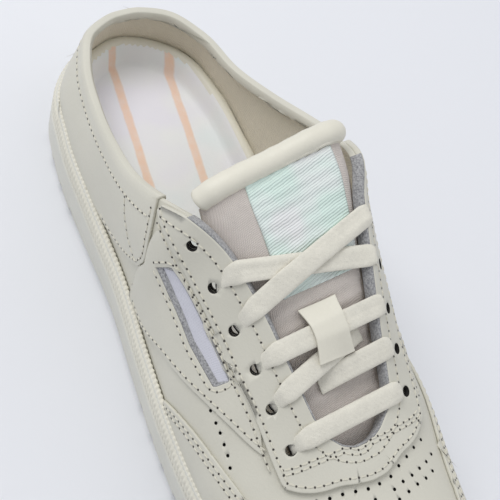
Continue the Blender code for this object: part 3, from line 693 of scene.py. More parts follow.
class Nodes:
    """Short calls to add and join nodes of a material."""

    def __init__(self, made):
        self.tree = made.node_tree
        self.shader = self.tree.nodes["Principled BSDF"]
        self.place = self.tree.nodes.new("ShaderNodeTexCoord").outputs["Object"]

    def join(self, value, socket):
        """Set a socket to a value or to another node's output."""
        if isinstance(value, bpy.types.NodeSocket):
            self.tree.links.new(value, socket)
        else:
            socket.default_value = value

    def math(self, operation, *values):
        """A Math node's output."""
        node = self.tree.nodes.new("ShaderNodeMath")
        node.operation = operation
        for value, socket in zip(values, node.inputs):
            self.join(value, socket)
        return node.outputs[0]

    def scaled(self, scale, place=None, turn=(0, 0, 0)):
        """Object coordinates, scaled and turned."""
        node = self.tree.nodes.new("ShaderNodeMapping")
        node.inputs["Scale"].default_value = scale
        node.inputs["Rotation"].default_value = turn
        self.tree.links.new(place or self.place, node.inputs["Vector"])
        return node.outputs[0]

    def noise(self, scale, detail=3.0, place=None, rough=0.55):
        """A noise texture's value."""
        node = self.tree.nodes.new("ShaderNodeTexNoise")
        node.inputs["Scale"].default_value = scale
        node.inputs["Detail"].default_value = detail
        node.inputs["Roughness"].default_value = rough
        self.tree.links.new(place or self.place, node.inputs["Vector"])
        return node.outputs[0]

    def cells(self, scale):
        """A Voronoi texture's distance to the nearest cell's middle."""
        node = self.tree.nodes.new("ShaderNodeTexVoronoi")
        node.inputs["Scale"].default_value = scale
        self.tree.links.new(self.place, node.inputs["Vector"])
        return node.outputs["Distance"]

    def split(self, place=None):
        """The three coordinates of a place."""
        node = self.tree.nodes.new("ShaderNodeSeparateXYZ")
        self.tree.links.new(place or self.place, node.inputs[0])
        return node.outputs

    def ramp(self, value, stops):
        """Colours by value, from stops of (value, colour)."""
        node = self.tree.nodes.new("ShaderNodeValToRGB")
        points = node.color_ramp.elements
        while len(points) < len(stops):
            points.new(0.5)
        for point, (at, colour) in zip(points, stops):
            point.position = at
            point.color = (*colour, 1)
        self.tree.links.new(value, node.inputs[0])
        return node.outputs[0]

    def mix(self, share, first, second):
        """A colour between two colours."""
        node = self.tree.nodes.new("ShaderNodeMix")
        node.data_type = "RGBA"
        self.join(share, node.inputs["Factor"])
        for value, socket in ((first, node.inputs[6]), (second, node.inputs[7])):
            if isinstance(value, bpy.types.NodeSocket):
                self.tree.links.new(value, socket)
            else:
                socket.default_value = (*value, 1)
        return node.outputs[2]

    def bump(self, height, distance, strength):
        """Bump the shader's normal by a height, whose unit is a distance in metres."""
        node = self.tree.nodes.new("ShaderNodeBump")
        node.inputs["Strength"].default_value = strength
        node.inputs["Distance"].default_value = distance
        self.tree.links.new(height, node.inputs["Height"])
        self.tree.links.new(node.outputs[0], self.shader.inputs["Normal"])

    def colour(self, value):
        """Drive the shader's colour."""
        self.tree.links.new(value, self.shader.inputs["Base Color"])

    def roughness(self, value):
        """Drive the shader's roughness."""
        self.tree.links.new(value, self.shader.inputs["Roughness"])


def tinted(colour, factor):
    """A colour made lighter or darker."""
    return tuple(min(1.0, c * factor) for c in colour)


def leather(name, colour, roughness=0.46, grain=0.00010):
    """Smooth coated leather: fine pebbled grain, faint creases and slow changes of tone."""
    made = shaded(name, colour, roughness, coat=0.06)
    n = Nodes(made)
    slow = n.noise(38, 2)
    fine = n.noise(900, 2)
    tone = n.math("ADD", n.math("MULTIPLY", slow, 0.75), n.math("MULTIPLY", fine, 0.25))
    stops = ((0.30, tinted(colour, 0.955)), (0.70, tinted(colour, 1.035)))
    n.colour(n.ramp(tone, stops))
    pebble = n.cells(1300)
    crease = n.noise(260, 4)
    height = n.math("ADD", n.math("MULTIPLY", pebble, 0.55), n.math("MULTIPLY", crease, 0.9))
    n.bump(height, grain, 0.55)
    rough = n.math("ADD", n.math("MULTIPLY", n.noise(120, 3), 0.16), roughness - 0.08)
    n.roughness(rough)
    return made


def woven(name, colour, thread, depth, slant=0.0, roughness=0.85, contrast=0.08):
    """Plain woven cloth: over and under threads that cross, with uneven yarn."""
    made = shaded(name, colour, roughness, sheen=0.15)
    n = Nodes(made)
    place = n.scaled((1, 1, 1), turn=(0.35, 0.25, slant))
    x, y, z = n.split(place)
    wobble = n.math("MULTIPLY", n.noise(350, 2), 0.00035)
    warp = n.math("SINE", n.math("MULTIPLY", n.math("ADD", x, wobble), 2 * math.pi / thread))
    weft = n.math("SINE", n.math("MULTIPLY", n.math("ADD", y, wobble), 2 * math.pi / thread))
    weave = n.math("MULTIPLY", warp, weft)
    height = n.math("ADD", n.math("MULTIPLY", weave, 0.5), n.math("MULTIPLY", n.noise(2600, 2), 0.5))
    n.bump(height, depth, 0.8)
    shade = n.math("ADD", n.math("MULTIPLY", weave, 0.20), n.math("MULTIPLY", n.noise(420, 4), 0.8))
    n.colour(n.ramp(shade, ((0.2, tinted(colour, 1 - contrast)), (0.7, tinted(colour, 1 + contrast * 0.5)))))
    return made


def ribbed_weave(name, colour, other, pitch):
    """Woven label cloth: fine ribs across, with slow changes between two pale tints."""
    made = shaded(name, colour, 0.62, sheen=0.2)
    n = Nodes(made)
    x, y, z = n.split()
    slanted = n.math("ADD", x, n.math("MULTIPLY", y, LABEL_RIB_SLANT))
    wobble = n.math("MULTIPLY", n.noise(240, 3), pitch * 0.8)
    rib = n.math("SINE", n.math("MULTIPLY", n.math("ADD", slanted, wobble), 2 * math.pi / pitch))
    height = n.math("ADD", n.math("MULTIPLY", rib, 0.5), n.math("MULTIPLY", n.noise(1500, 3), 0.6))
    n.bump(height, 0.00022, 0.8)
    tint = n.ramp(n.noise(48, 2), ((0.38, colour), (0.62, other)))
    shade = n.math("ADD", n.math("MULTIPLY", rib, 0.12), n.math("MULTIPLY", n.noise(700, 3), 0.5))
    n.colour(n.mix(n.math("MULTIPLY", shade, 0.35), tint, tinted(colour, 0.80)))
    return made


def moulded_rubber(name, colour, roughness=0.52):
    """Moulded rubber: satin, faintly mottled and scuffed."""
    made = shaded(name, colour, roughness)
    n = Nodes(made)
    tone = n.math("ADD", n.math("MULTIPLY", n.noise(60, 3), 0.7), n.math("MULTIPLY", n.noise(1200, 2), 0.3))
    n.colour(n.ramp(tone, ((0.30, tinted(colour, 0.95)), (0.70, tinted(colour, 1.03)))))
    n.bump(n.noise(1800, 3), 0.00006, 0.5)
    n.roughness(n.math("ADD", n.math("MULTIPLY", n.noise(150, 3), 0.2), roughness - 0.1))
    return made


def lace_cotton(name, colour):
    """Flat cotton lace: fine fibres over the modelled herringbone."""
    made = shaded(name, colour, 0.88, sheen=0.25)
    n = Nodes(made)
    fibre = n.noise(2400, 4)
    tone = n.math("ADD", n.math("MULTIPLY", fibre, 0.5), n.math("MULTIPLY", n.noise(300, 3), 0.5))
    n.colour(n.ramp(tone, ((0.25, tinted(colour, 0.87)), (0.70, tinted(colour, 1.05)))))
    n.bump(fibre, 0.00022, 0.8)
    return made


def flecked_edge(name, colour, dark):
    """Raw cut edge of textile backing: fuzzy grey flecks."""
    made = shaded(name, colour, 0.95, sheen=0.3)
    n = Nodes(made)
    fleck = n.noise(1500, 4, rough=0.7)
    n.colour(n.ramp(fleck, ((0.36, dark), (0.62, colour))))
    n.bump(fleck, 0.0004, 0.9)
    return made


def printed_footbed(name, colour):
    """Footbed cloth with two soft stripes along the foot and pale tints between them."""
    made = shaded(name, colour, 0.70, sheen=0.1)
    n = Nodes(made)
    x, y, z = n.split()
    wave = n.math("MULTIPLY", n.noise(120, 3), 0.0011)
    across = n.math("ADD", n.math("ADD", y, n.math("MULTIPLY", x, STRIPE_SLANT)), wave)
    print_ = n.ramp(n.noise(26, 2), FOOTBED_TINTS)
    for middle in STRIPE_MIDDLES:
        away = n.math("ABSOLUTE", n.math("SUBTRACT", across, middle))
        share = n.math("SUBTRACT", 1.0, n.math("DIVIDE", n.math("SUBTRACT", away, STRIPE_HALF), 0.0007))
        share.node.use_clamp = True
        fade = n.math("MULTIPLY", share, n.math("ADD", 0.42, n.math("MULTIPLY", n.noise(300, 4), 0.65)))
        fade.node.use_clamp = True
        print_ = n.mix(fade, print_, STRIPE_COLOUR)
    n.colour(print_)
    n.bump(n.noise(1600, 3), 0.00012, 0.6)
    return made


def mesh_piece(name, points, faces, finishes, indices=None):
    """A smooth shaded mesh that rides on the shoe."""
    mesh = bpy.data.meshes.new(name)
    mesh.from_pydata(np.asarray(points, float).tolist(), [], faces)
    mesh.update()
    mesh.shade_smooth()
    for finish in finishes:
        mesh.materials.append(finish)
    if indices is not None:
        mesh.polygons.foreach_set("material_index", np.asarray(indices, np.int32))
    made = bpy.data.objects.new(name, mesh)
    bpy.context.scene.collection.objects.link(made)
    return on_shoe(made)


def on_shoe(made):
    """Let a piece ride on the shoe."""
    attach(made, "root")
    return made


def grid_quads(rows, columns, wrap_columns=False, wrap_rows=False):
    """Quads of a grid of points stored row by row, row-major."""
    i, j = np.meshgrid(
        np.arange(rows if wrap_rows else rows - 1),
        np.arange(columns if wrap_columns else columns - 1),
        indexing="ij",
    )
    i, j = i.ravel(), j.ravel()
    k, m = (i + 1) % rows, (j + 1) % columns
    return np.c_[i * columns + j, i * columns + m, k * columns + m, k * columns + j].tolist()


def tube_piece(name, rings, finish, closed=False):
    """A closed tube through rings of points, capped at both ends or joined to itself."""
    rings = np.asarray(rings)
    count, around = rings.shape[:2]
    faces = grid_quads(count, around, wrap_columns=True, wrap_rows=closed)
    if not closed:
        faces.append(list(range(around))[::-1])
        faces.append([(count - 1) * around + k for k in range(around)])
    return mesh_piece(name, rings.reshape(-1, 3), faces, [finish])


def settled(made):
    """Turn a piece's modifiers into its mesh."""
    bpy.context.view_layer.update()
    shape = bpy.data.meshes.new_from_object(made.evaluated_get(bpy.context.evaluated_depsgraph_get()))
    made.modifiers.clear()
    made.data = shape
    return made


def tree_of(made):
    """Search tree of a piece's surface."""
    bpy.context.view_layer.update()
    return BVHTree.FromObject(made, bpy.context.evaluated_depsgraph_get())


def punches(name, centres, axes, radius, above, below, sides, finish):
    """Cylinders that cut holes, as one mesh, whose near-black material is painted shade inside the holes."""
    shape = bmesh.new()
    for centre, axis in zip(centres, axes):
        turn = Vector(axis).to_track_quat("Z", "Y").to_matrix().to_4x4()
        middle = Vector(centre) + Vector(axis) * ((above - below) / 2)
        bmesh.ops.create_cone(
            shape,
            cap_ends=True,
            segments=sides,
            radius1=radius,
            radius2=radius,
            depth=above + below,
            matrix=Matrix.Translation(middle) @ turn,
        )
    mesh = bpy.data.meshes.new(name)
    shape.to_mesh(mesh)
    shape.free()
    mesh.materials.append(finish)
    made = bpy.data.objects.new(name, mesh)
    bpy.context.scene.collection.objects.link(made)
    made.hide_render = True
    return made


def cut(target, cutter):
    """Cut the punches out of a piece and keep their insides, painted near-black as shade."""
    modifier = target.modifiers.new("cut", "BOOLEAN")
    modifier.operation = "DIFFERENCE"
    modifier.solver = "EXACT"
    modifier.material_mode = "TRANSFER"
    modifier.object = cutter
    settled(target)


def pattern_sheet(edge, holes, steps):
    """A flat pattern's faces, cut along a fine grid so that it can follow the wall."""
    pattern = bmesh.new()
    for loop in [edge] + holes:
        corners = [pattern.verts.new((s, h, 0)) for s, h in loop]
        for a, b in zip(corners, corners[1:] + corners[:1]):
            pattern.edges.new((a, b))
    bmesh.ops.triangle_fill(pattern, edges=pattern.edges[:], use_beauty=True, normal=(0, 0, 1))
    for axis, step in enumerate(steps):
        values = [v.co[axis] for v in pattern.verts]
        normal = Vector((1, 0, 0)) if axis == 0 else Vector((0, 1, 0))
        for k in range(math.ceil(min(values) / step), math.floor(max(values) / step) + 1):
            bmesh.ops.bisect_plane(
                pattern,
                geom=pattern.verts[:] + pattern.edges[:] + pattern.faces[:],
                dist=1e-5,
                plane_co=normal * (k * step),
                plane_no=normal,
            )
    inner = [e for e in pattern.edges if not e.is_boundary and not along_grid(e, steps)]
    bmesh.ops.dissolve_edges(pattern, edges=inner, use_verts=False)
    spare = [v for v in pattern.verts if len(v.link_edges) == 2 and not v.is_boundary]
    bmesh.ops.dissolve_verts(pattern, verts=spare)
    return pattern


def along_grid(edge, steps):
    """Whether an edge of a flat pattern lies along one of its grid lines."""
    for axis, step in enumerate(steps):
        a, b = (v.co[axis] / step for v in edge.verts)
        if abs(a - b) < 1e-3 and abs(a - round(a)) < 1e-3:
            return True
    return False


def overlay(name, edge, holes, lift, thickness, finish, rounding=OVERLAY_ROUNDING):
    """A leather overlay cut from the wall's surface, with softly rounded edges."""
    edge = resampled(edge, EDGE_PITCH, closed=True)
    holes = [resampled(loop, EDGE_PITCH, closed=True) for loop in holes]
    pattern = pattern_sheet(edge, holes, PATTERN_GRID)
    flat = np.array([v.co[:2] for v in pattern.verts])
    for vertex, place in zip(pattern.verts, skin(flat[:, 0], flat[:, 1], lift)):
        vertex.co = place
    bmesh.ops.remove_doubles(pattern, verts=pattern.verts[:], dist=0.00035)
    bmesh.ops.recalc_face_normals(pattern, faces=pattern.faces[:])
    sample = max(pattern.faces, key=lambda f: f.calc_area())
    if sample.normal.dot(outward(sample.calc_center_median())) < 0:
        bmesh.ops.reverse_faces(pattern, faces=pattern.faces[:])
    mesh = bpy.data.meshes.new(name)
    pattern.to_mesh(mesh)
    pattern.free()
    mesh.materials.append(finish)
    made = bpy.data.objects.new(name, mesh)
    bpy.context.scene.collection.objects.link(made)
    solid = made.modifiers.new("thickness", "SOLIDIFY")
    solid.thickness = thickness
    solid.offset = 1
    solid.use_quality_normals = True
    soft = made.modifiers.new("rounding", "BEVEL")
    soft.width = rounding
    soft.segments = 3
    soft.limit_method = "ANGLE"
    soft.angle_limit = math.radians(50)
    soft.use_clamp_overlap = False
    settled(made)
    made.data.shade_smooth()
    return on_shoe(made)


def outward(place):
    """A rough outward direction at a place on the shoe's wall."""
    return Vector((place.x * 0.3, place.y, 0.02))


def make_shell(finishes):
    """The upper's wall: leather outside, turned over the top line, lining inside."""
    stations = np.arange(SHELL_STATIONS) * 2 / SHELL_STATIONS
    outside = np.r_[-1, -0.5, np.linspace(0, 1, 40)]
    over = np.linspace(1, 1 + TURN, 9)[1:]
    inside = 1 + TURN + np.r_[np.linspace(0, 1, 24)[1:], 1.5, 2]
    heights = np.r_[outside, over, inside]
    s, h = np.meshgrid(stations, heights)
    grid = skin(s, h)
    rows, columns = grid.shape[:2]
    faces = grid_quads(rows, columns, wrap_columns=True, wrap_rows=True)
    row = np.repeat(np.arange(rows), columns)
    lining = (row >= len(outside) + len(over) - 1).astype(int)
    return mesh_piece("upper_shell", grid.reshape(-1, 3), faces, finishes, lining)


def ring_points(stations, inset, height):
    """Points round the sole, moved inwards from its outline, at a height for each place."""
    plan = outline(stations, inset)
    return np.c_[plan, height(levels(plan[:, 0]))]


def rounded_profile(corners, radius, steps=5):
    """A run of (inset, height, anchor) corners; corners with one anchor are rounded."""
    made = []
    for k, (inset, height, anchor) in enumerate(corners):
        if k in (0, len(corners) - 1):
            made.append((inset, height, anchor))
            continue
        before, after = corners[k - 1], corners[k + 1]
        if before[2] != anchor or after[2] != anchor:
            made.append((inset, height, anchor))
            continue
        here = np.array((inset, height))
        back = np.array(before[:2]) - here
        on = np.array(after[:2]) - here
        back *= min(radius, np.linalg.norm(back) * 0.45) / np.linalg.norm(back)
        on *= min(radius, np.linalg.norm(on) * 0.45) / np.linalg.norm(on)
        for t in np.linspace(0, 1, steps):
            place = here + back * (1 - t) ** 2 + on * t**2
            made.append((*place, anchor))
    return made


def make_cup(finish):
    """The sole's cup: a plain wall with a soft foot, a step under the ribbed band, a rim."""
    under = OUTSOLE_THICKNESS + GAP
    band = -BAND_HEIGHT
    corners = [
        (EDGE_INSET, under, 0),
        (0.0, under + WALL_FOOT, 0),
        (0.0, under + WALL_FOOT + CUP_SHOULDER, 0),
        (0.0, band - CUP_SHOULDER, 2),
        (0.0, band, 2),
        (BAND_STEP + BAND_BACKING, band + BAND_STEP, 2),
        (BAND_STEP + BAND_BACKING, -RIM_ROUNDING, 2),
        (BAND_STEP + 2 * BAND_BACKING, -BAND_BACKING, 2),
        (CUP_WALL, -BAND_BACKING, 2),
        (CUP_WALL, -2 * CUP_SHOULDER, 2),
        (CUP_WALL, 0.0, 1),
    ]
    profile = rounded_profile(corners, CUP_ROUNDING)
    stations = np.arange(SOLE_STATIONS) * 2 / SOLE_STATIONS
    rings = [ring_points(stations, i, lambda z, h=h, a=a: z[:, a] + h) for i, h, a in profile]
    count = SOLE_STATIONS
    faces = grid_quads(len(rings), count, wrap_columns=True)
    for first, flip in ((0, True), ((len(rings) - 1) * count, False)):
        fan = ladder(first, count)
        faces += [f[::-1] for f in fan] if flip else fan
    made = mesh_piece("sole_cup", np.vstack(rings), faces, [finish])
    return made


def ladder(first, count):
    """Faces that close a ring from side to side, between stations level with each other."""
    faces = [[first, first + 1, first + count - 1]]
    for i in range(1, count // 2 - 1):
        faces.append([first + i, first + i + 1, first + count - i - 1, first + count - i])
    middle = first + count // 2
    faces.append([middle - 1, middle, middle + 1])
    return faces


def make_ribbed_band(finish):
    """The moulded band round the top of the sole: small slanted ribs in rows."""
    girth = np.linalg.norm(np.diff(outline(np.linspace(0, 2, 801)), axis=0), axis=1).sum()
    ribs = int(girth / RIB_PITCH)
    count = ribs * RIB_STEPS
    samples = np.linspace(0, 2, 1601)
    plan = along_table(OUTLINE_LOOP, samples)
    run = np.r_[0, np.cumsum(np.linalg.norm(np.diff(plan, axis=0), axis=1))]
    stations = np.interp(np.arange(count) / count * run[-1], run, samples)
    low = -BAND_HEIGHT + BAND_STEP
    corners = [
        (BAND_STEP + 0.0009, low + 0.0002, 2),
        (BAND_STEP, low + 0.0006, 2),
        (BAND_STEP, -0.0022, 2),
        (BAND_STEP + 0.0022, 0.0, 2),
        (CUP_WALL - 0.0002, 0.0, 2),
        (CUP_WALL - 0.0002, -0.0012, 2),
    ]
    profile = rounded_profile(corners, 0.0022, steps=9)
    points = np.array([(i, h) for i, h, _ in profile])
    away = np.r_[0, np.cumsum(np.linalg.norm(np.diff(points, axis=0), axis=1))]
    fine = np.linspace(0, away[-1], RIB_ROWS * 7 + 1)
    points = np.c_[np.interp(fine, away, points[:, 0]), np.interp(fine, away, points[:, 1])]
    ahead = np.gradient(points, axis=0)
    ahead /= np.linalg.norm(ahead, axis=1)[:, None]
    rings = []
    for k, ((inset, height), (di, dh)) in enumerate(zip(points, ahead)):
        row = fine[k] / fine[-1] * RIB_ROWS
        phase = np.arange(count) / RIB_STEPS + (int(row) % 2) * 0.5 + (row % 1) * 0.35
        across = np.sin(np.pi * (row % 1)) ** 0.7
        rise = RIB_HEIGHT * across * (0.5 + 0.5 * np.cos(2 * np.pi * phase)) ** 0.8
        inward = inset - rise * dh
        up = height + rise * di
        rings.append(ring_points(stations, inward, lambda z, up=up: z[:, 2] + up))
    for height in (-0.0012, low + 0.0004):
        rings.append(ring_points(stations, BAND_STEP + 0.0014, lambda z, up=height: z[:, 2] + up))
    faces = grid_quads(len(rings), count, wrap_columns=True, wrap_rows=True)
    return mesh_piece("sole_ribbed_band", np.vstack(rings), faces, [finish])


def make_footbed(print_finish, rim_finish):
    """The footbed: a printed cloth top in a raised, rounded rim."""
    rows, columns = 120, 61
    station = (1 - np.cos(np.linspace(0.035, np.pi - 0.035, rows))) / 2
    edge = np.array(outline(np.linspace(0, 2, 720), INSOLE_INSET))
    lateral = outline(station, INSOLE_INSET)
    medial = outline(2 - station, INSOLE_INSET)
    t = (np.linspace(-1, 1, columns) + 1) / 2
    t = (1 - np.cos(t * np.pi)) / 2
    plan = lateral[:, None] * (1 - t)[None, :, None] + medial[:, None] * t[None, :, None]
    flat = plan.reshape(-1, 2)
    away = np.array([np.min(np.linalg.norm(edge - p, axis=1)) for p in flat])
    level = levels(flat[:, 0])
    base = level[:, 1] + GAP + INSOLE_THICKNESS
    lip = level[:, 3] + 0.0006
    share = np.clip(1 - (away - FOOTBED_RIM) / FOOTBED_DISH, 0, 1)
    rise = lip * share * share * (3 - 2 * share)
    crown = np.sqrt(np.clip(1 - ((FOOTBED_RIM / 2 - away) / (FOOTBED_RIM / 2)) ** 2, 0, 1))
    rim = np.where(away < FOOTBED_RIM, 0.0011 * crown, 0)
    z = base + rise + rim
    grid = np.c_[flat, z].reshape(rows, columns, 3)
    faces = [f[::-1] for f in grid_quads(rows, columns)]
    middle = away.reshape(rows, columns)
    cell = (middle[:-1, :-1] + middle[1:, :-1] + middle[:-1, 1:] + middle[1:, 1:]).ravel() / 4
    index = (cell < FOOTBED_RIM).astype(int)
    both = [print_finish, rim_finish]
    made = mesh_piece("footbed", grid.reshape(-1, 3), faces, both, index)
    solid = made.modifiers.new("thickness", "SOLIDIFY")
    solid.thickness = 0.003
    solid.offset = -1
    return settled(made)


def lowered(across, along, lift=0.0):
    """Points of the tongue's top: as the solid's, but deeper under the lower laces."""
    place = tongue_point(across, along, lift)
    share = np.clip((np.asarray(along) - 0.34) / 0.3, 0, 1)
    side = np.clip(1 - np.abs(np.asarray(across)) ** 4, 0, 1)
    place[..., 2] -= TONGUE_DROP * share * share * (3 - 2 * share) * side
    return place


def make_tongue(body_finish, under_finish):
    """The tongue: a padded cloth panel, softly pillowed, with a woven cloth back."""
    across, along = np.meshgrid(np.linspace(-1, 1, 61), np.linspace(0, 1, 90))
    puff = 0.0009 * np.sin(np.pi * np.clip(along / 0.42, 0, 1)) * (1 - across**4)
    top = lowered(across, along) + puff[..., None] * (0, 0, 1)
    wrinkle = 0.00035 * np.sin(along * 95 + 2.5 * across) * np.clip((along - 0.30) * 4, 0, 1)
    top[..., 2] += wrinkle * (1 - across**2)
    faces = grid_quads(90, 61)
    faces = [f[::-1] for f in faces]
    both = [body_finish, under_finish]
    made = mesh_piece("tongue_body", top.reshape(-1, 3), faces, both)
    solid = made.modifiers.new("thickness", "SOLIDIFY")
    solid.thickness = TONGUE_THICKNESS
    solid.offset = -1
    solid.material_offset = 1
    return settled(made)


def sweep(path, radii, around, flatten=1.0, up=(0, 0, 1)):
    """Rings of an oval section along a path; radii across, flatten times that upwards."""
    path = np.asarray(path, float)
    ahead = unit(np.gradient(path, axis=0))
    side = unit(np.cross(ahead, np.asarray(up, float)))
    over = np.cross(side, ahead)
    turn = np.arange(around) * 2 * np.pi / around
    radii = np.broadcast_to(radii, len(path))
    ring = np.cos(turn)[None, :, None] * side[:, None]
    ring = ring + flatten * np.sin(turn)[None, :, None] * over[:, None]
    return path[:, None] + ring * radii[:, None, None]


def make_roll(finish):
    """The padded roll along the tongue's top, its piping and the seam between them."""
    across = np.linspace(-0.97, 0.97, 80)
    edge = tongue_point(across, np.zeros_like(across))
    onward = unit(edge - tongue_point(across, np.full_like(across, 0.03)))
    path = edge + onward * (ROLL_RADIUS * 0.62) - (0, 0, TONGUE_THICKNESS * 0.35)
    ends = np.clip((1 - np.abs(across) / 0.97) / 0.05, 0, 1)
    radius = ROLL_RADIUS * (0.35 + 0.65 * np.sqrt(1 - (1 - ends) ** 2)) * 1.02
    ripple = 1 + 0.015 * np.sin(across * 31) + 0.01 * np.sin(across * 17 + 1)
    roll = tube_piece("tongue_roll_padded", sweep(path, radius * ripple, 28), finish)
    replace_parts(roll, "tongue_roll")
    seam = tongue_point(across * 0.985, np.full_like(across, 0.012), 0.0010)
    tube_piece("tongue_piping", sweep(seam, 0.0009, 12), finish)
    return roll


def make_label(finish):
    """The woven label on the tongue, bare, with folded edges."""
    across, along = np.meshgrid(np.linspace(*LABEL_SIDES, 50), np.linspace(0.022, 0.44, 60))
    u = (across - LABEL_SIDES[0]) / (LABEL_SIDES[1] - LABEL_SIDES[0])
    border = np.minimum(np.minimum(u, 1 - u) * 30, 1)
    ripple = 0.0002 * np.sin(along * 130 + across * 3) + 0.00025 * np.sin(along * 21 + across * 9)
    puff = 0.0009 * np.sin(np.pi * np.clip(along / 0.42, 0, 1)) * (1 - across**4)
    rise = 0.00035 + 0.0005 * border + ripple * border + puff
    grid = lowered(across, along) + rise[..., None] * (0, 0, 1)
    faces = [f[::-1] for f in grid_quads(60, 50)]
    made = mesh_piece("tongue_woven_label", grid.reshape(-1, 3), faces, [finish])
    solid = made.modifiers.new("thickness", "SOLIDIFY")
    solid.thickness = 0.0005
    solid.offset = -1
    settled(made)
    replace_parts(made, "tongue_label")
    return made


class Stitching:
    """Rows of stitches gathered into one mesh of thread and one of flat dark discs, painted shade that
    stands for the needle holes.
    """

    def __init__(self):
        self.points = []
        self.faces = []
        self.dots = []
        self.dot_faces = []

    def row(self, curve, lift, pitch=STITCH_PITCH, dots=True):
        """Stitches along a (station, height) curve on the wall, on top of a given lift."""
        curve = resampled(curve, pitch)
        places = skin(curve[:, 0], curve[:, 1], lift)
        self.along(places, surface_normal(curve[:, 0], curve[:, 1]), dots)

    def along(self, places, normals, dots=True):
        """Stitches between successive places."""
        for a, b, n in zip(places[:-1], places[1:], normals[:-1]):
            self.stitch(a, b, n)
        if dots:
            for place, n, nxt in zip(places[:-1], normals[:-1], places[1:]):
                self.dot(place, n, nxt)

    def stitch(self, a, b, n):
        """One stitch: a small arched thread with its ends in the leather."""
        ahead = b - a
        side = unit(np.cross(n, ahead))
        first = len(self.points)
        for t in (0.17, 0.3, 0.5, 0.7, 0.83):
            rise = THREAD_RISE * math.sin(math.pi * (t - 0.17) / 0.66) - THREAD_RADIUS * 0.55
            centre = a + ahead * t + n * rise
            for k in range(6):
                turn = k * math.pi / 3
                self.points.append(centre + (side * math.cos(turn) + n * math.sin(turn)) * THREAD_RADIUS)
        for i in range(4):
            for k in range(6):
                m = (k + 1) % 6
                self.faces.append(
                    [first + i * 6 + k, first + i * 6 + m, first + i * 6 + 6 + m, first + i * 6 + 6 + k]
                )

    def dot(self, place, n, nxt):
        """One needle hole: a flat dark disc, painted shade."""
        ahead = unit(nxt - place)
        side = np.cross(n, ahead)
        first = len(self.dots)
        self.dots.append(place + n * 0.00003)
        for k in range(8):
            turn = k * math.pi / 4
            rim = ahead * math.cos(turn) * 0.85 + side * math.sin(turn)
            self.dots.append(place + rim * NEEDLE_RADIUS + n * 0.00006)
        for k in range(8):
            self.dot_faces.append([first, first + 1 + k, first + 1 + (k + 1) % 8])

    def finish(self, thread, dark):
        """Make the two meshes."""
        mesh_piece("stitch_thread", self.points, self.faces, [thread])
        # The dark discs are painted shade standing for the needle holes
        mesh_piece("needle_hole_shade_discs", self.dots, self.dot_faces, [dark])


def both_sides(curve):
    """A curve on the lateral side and its mirror image on the medial side."""
    return [list(curve), mirrored(list(curve))]


def drape(trees, line, width, clearance):
    """Heights of a band's five rails over what lies below it."""
    shares = np.linspace(-0.5, 0.5, 5)
    heading = unit(line[-1] - line[0])
    aside = np.array((-heading[1], heading[0]))
    run = np.linalg.norm(line - line[0], axis=1)
    rails = []
    for share in shares:
        places = line + aside * width * share
        rails.append(taut(run, heights_over(trees, places) + clearance))
    return np.array(rails).T, aside, run


def make_lace(name, start, end, share, trees, finish, tuck):
    """One run of flat lace between two eyelets, woven in a herringbone."""
    far = start + (end - start) * share
    span = np.linalg.norm(far - start)
    count = int(span / LACE_STEP) + 1
    line = start + (far - start) * np.linspace(0, 1, count)[:, None]
    coarse = np.vstack([line[:-1:6], line[-1:]])
    rails, aside, run = drape(trees, coarse, LACE_WIDTH * LACE_DRAPED, LACE_CLEARANCE)
    fine_run = np.linspace(0, span, count)
    rails = [smooth_run(np.interp(fine_run, run, rail), LACE_SMOOTHING) for rail in rails.T]
    rails = np.array(rails).T
    near = np.minimum(fine_run, span - fine_run if share == 1 else 1.0)
    dive = np.clip(1 - near / EYELET_DIVE, 0, 1)
    wide = LACE_TIP_WIDTH + (1 - LACE_TIP_WIDTH) * smooth_step(near / 0.006)
    swell = (LACE_TIP_THICKNESS - 1) * (1 - smooth_step(near / 0.008))
    thick = LACE_THICKNESS * (1 + swell)
    if tuck:
        last = np.clip((fine_run - (span - tuck)) / tuck, 0, 1)
        thick = thick * (1 - LACE_TUCKED * last)
    turn = np.arange(LACE_AROUND) * 2 * np.pi / LACE_AROUND
    v = np.cos(turn)
    belly = np.sign(np.sin(turn)) * (1 - np.abs(v) ** 3.2) ** 0.5
    rings = np.empty((count, LACE_AROUND, 3))
    rail_at = np.linspace(-1, 1, 5)
    for k in range(count):
        across = v * LACE_WIDTH / 2 * wide[k]
        base = np.interp(v * wide[k], rail_at, rails[k])
        relief = lace_relief(v, fine_run[k])
        height = base + thick[k] / 2 + belly * (thick[k] / 2 + relief)
        height -= EYELET_DEPTH * dive[k] ** 1.5
        place = line[k][None, :] + aside[None, :] * across[:, None]
        rings[k] = np.c_[place, height]
    return tube_piece(name, rings, finish)


def lace_relief(across, along):
    """Heights of the herringbone at places across a lace, at one distance along it."""
    columns = (across + 1) / 2 * LACE_COLUMNS
    zigzag = np.abs((columns % 2) - 1)
    phase = along / LACE_RIDGE + zigzag * LACE_ZIGZAG
    ridge = 0.5 + 0.5 * np.cos(2 * np.pi * phase)
    groove = 1 - 0.5 * np.exp(-(((columns % 1) - 0.5) ** 2 - 0.25) ** 2 / 0.002)
    return LACE_RELIEF * ridge * groove * (1 - across**6)


def smooth_step(value):
    """0 below 0, 1 above 1 and smooth between."""
    share = np.clip(value, 0, 1)
    return share * share * (3 - 2 * share)


def smooth_run(values, width):
    """A run of values averaged over a few neighbours."""
    kernel = np.hanning(width + 2)[1:-1]
    padded = np.r_[np.full(width, values[0]), values, np.full(width, values[-1])]
    return np.convolve(padded, kernel / kernel.sum(), "same")[width:-width]


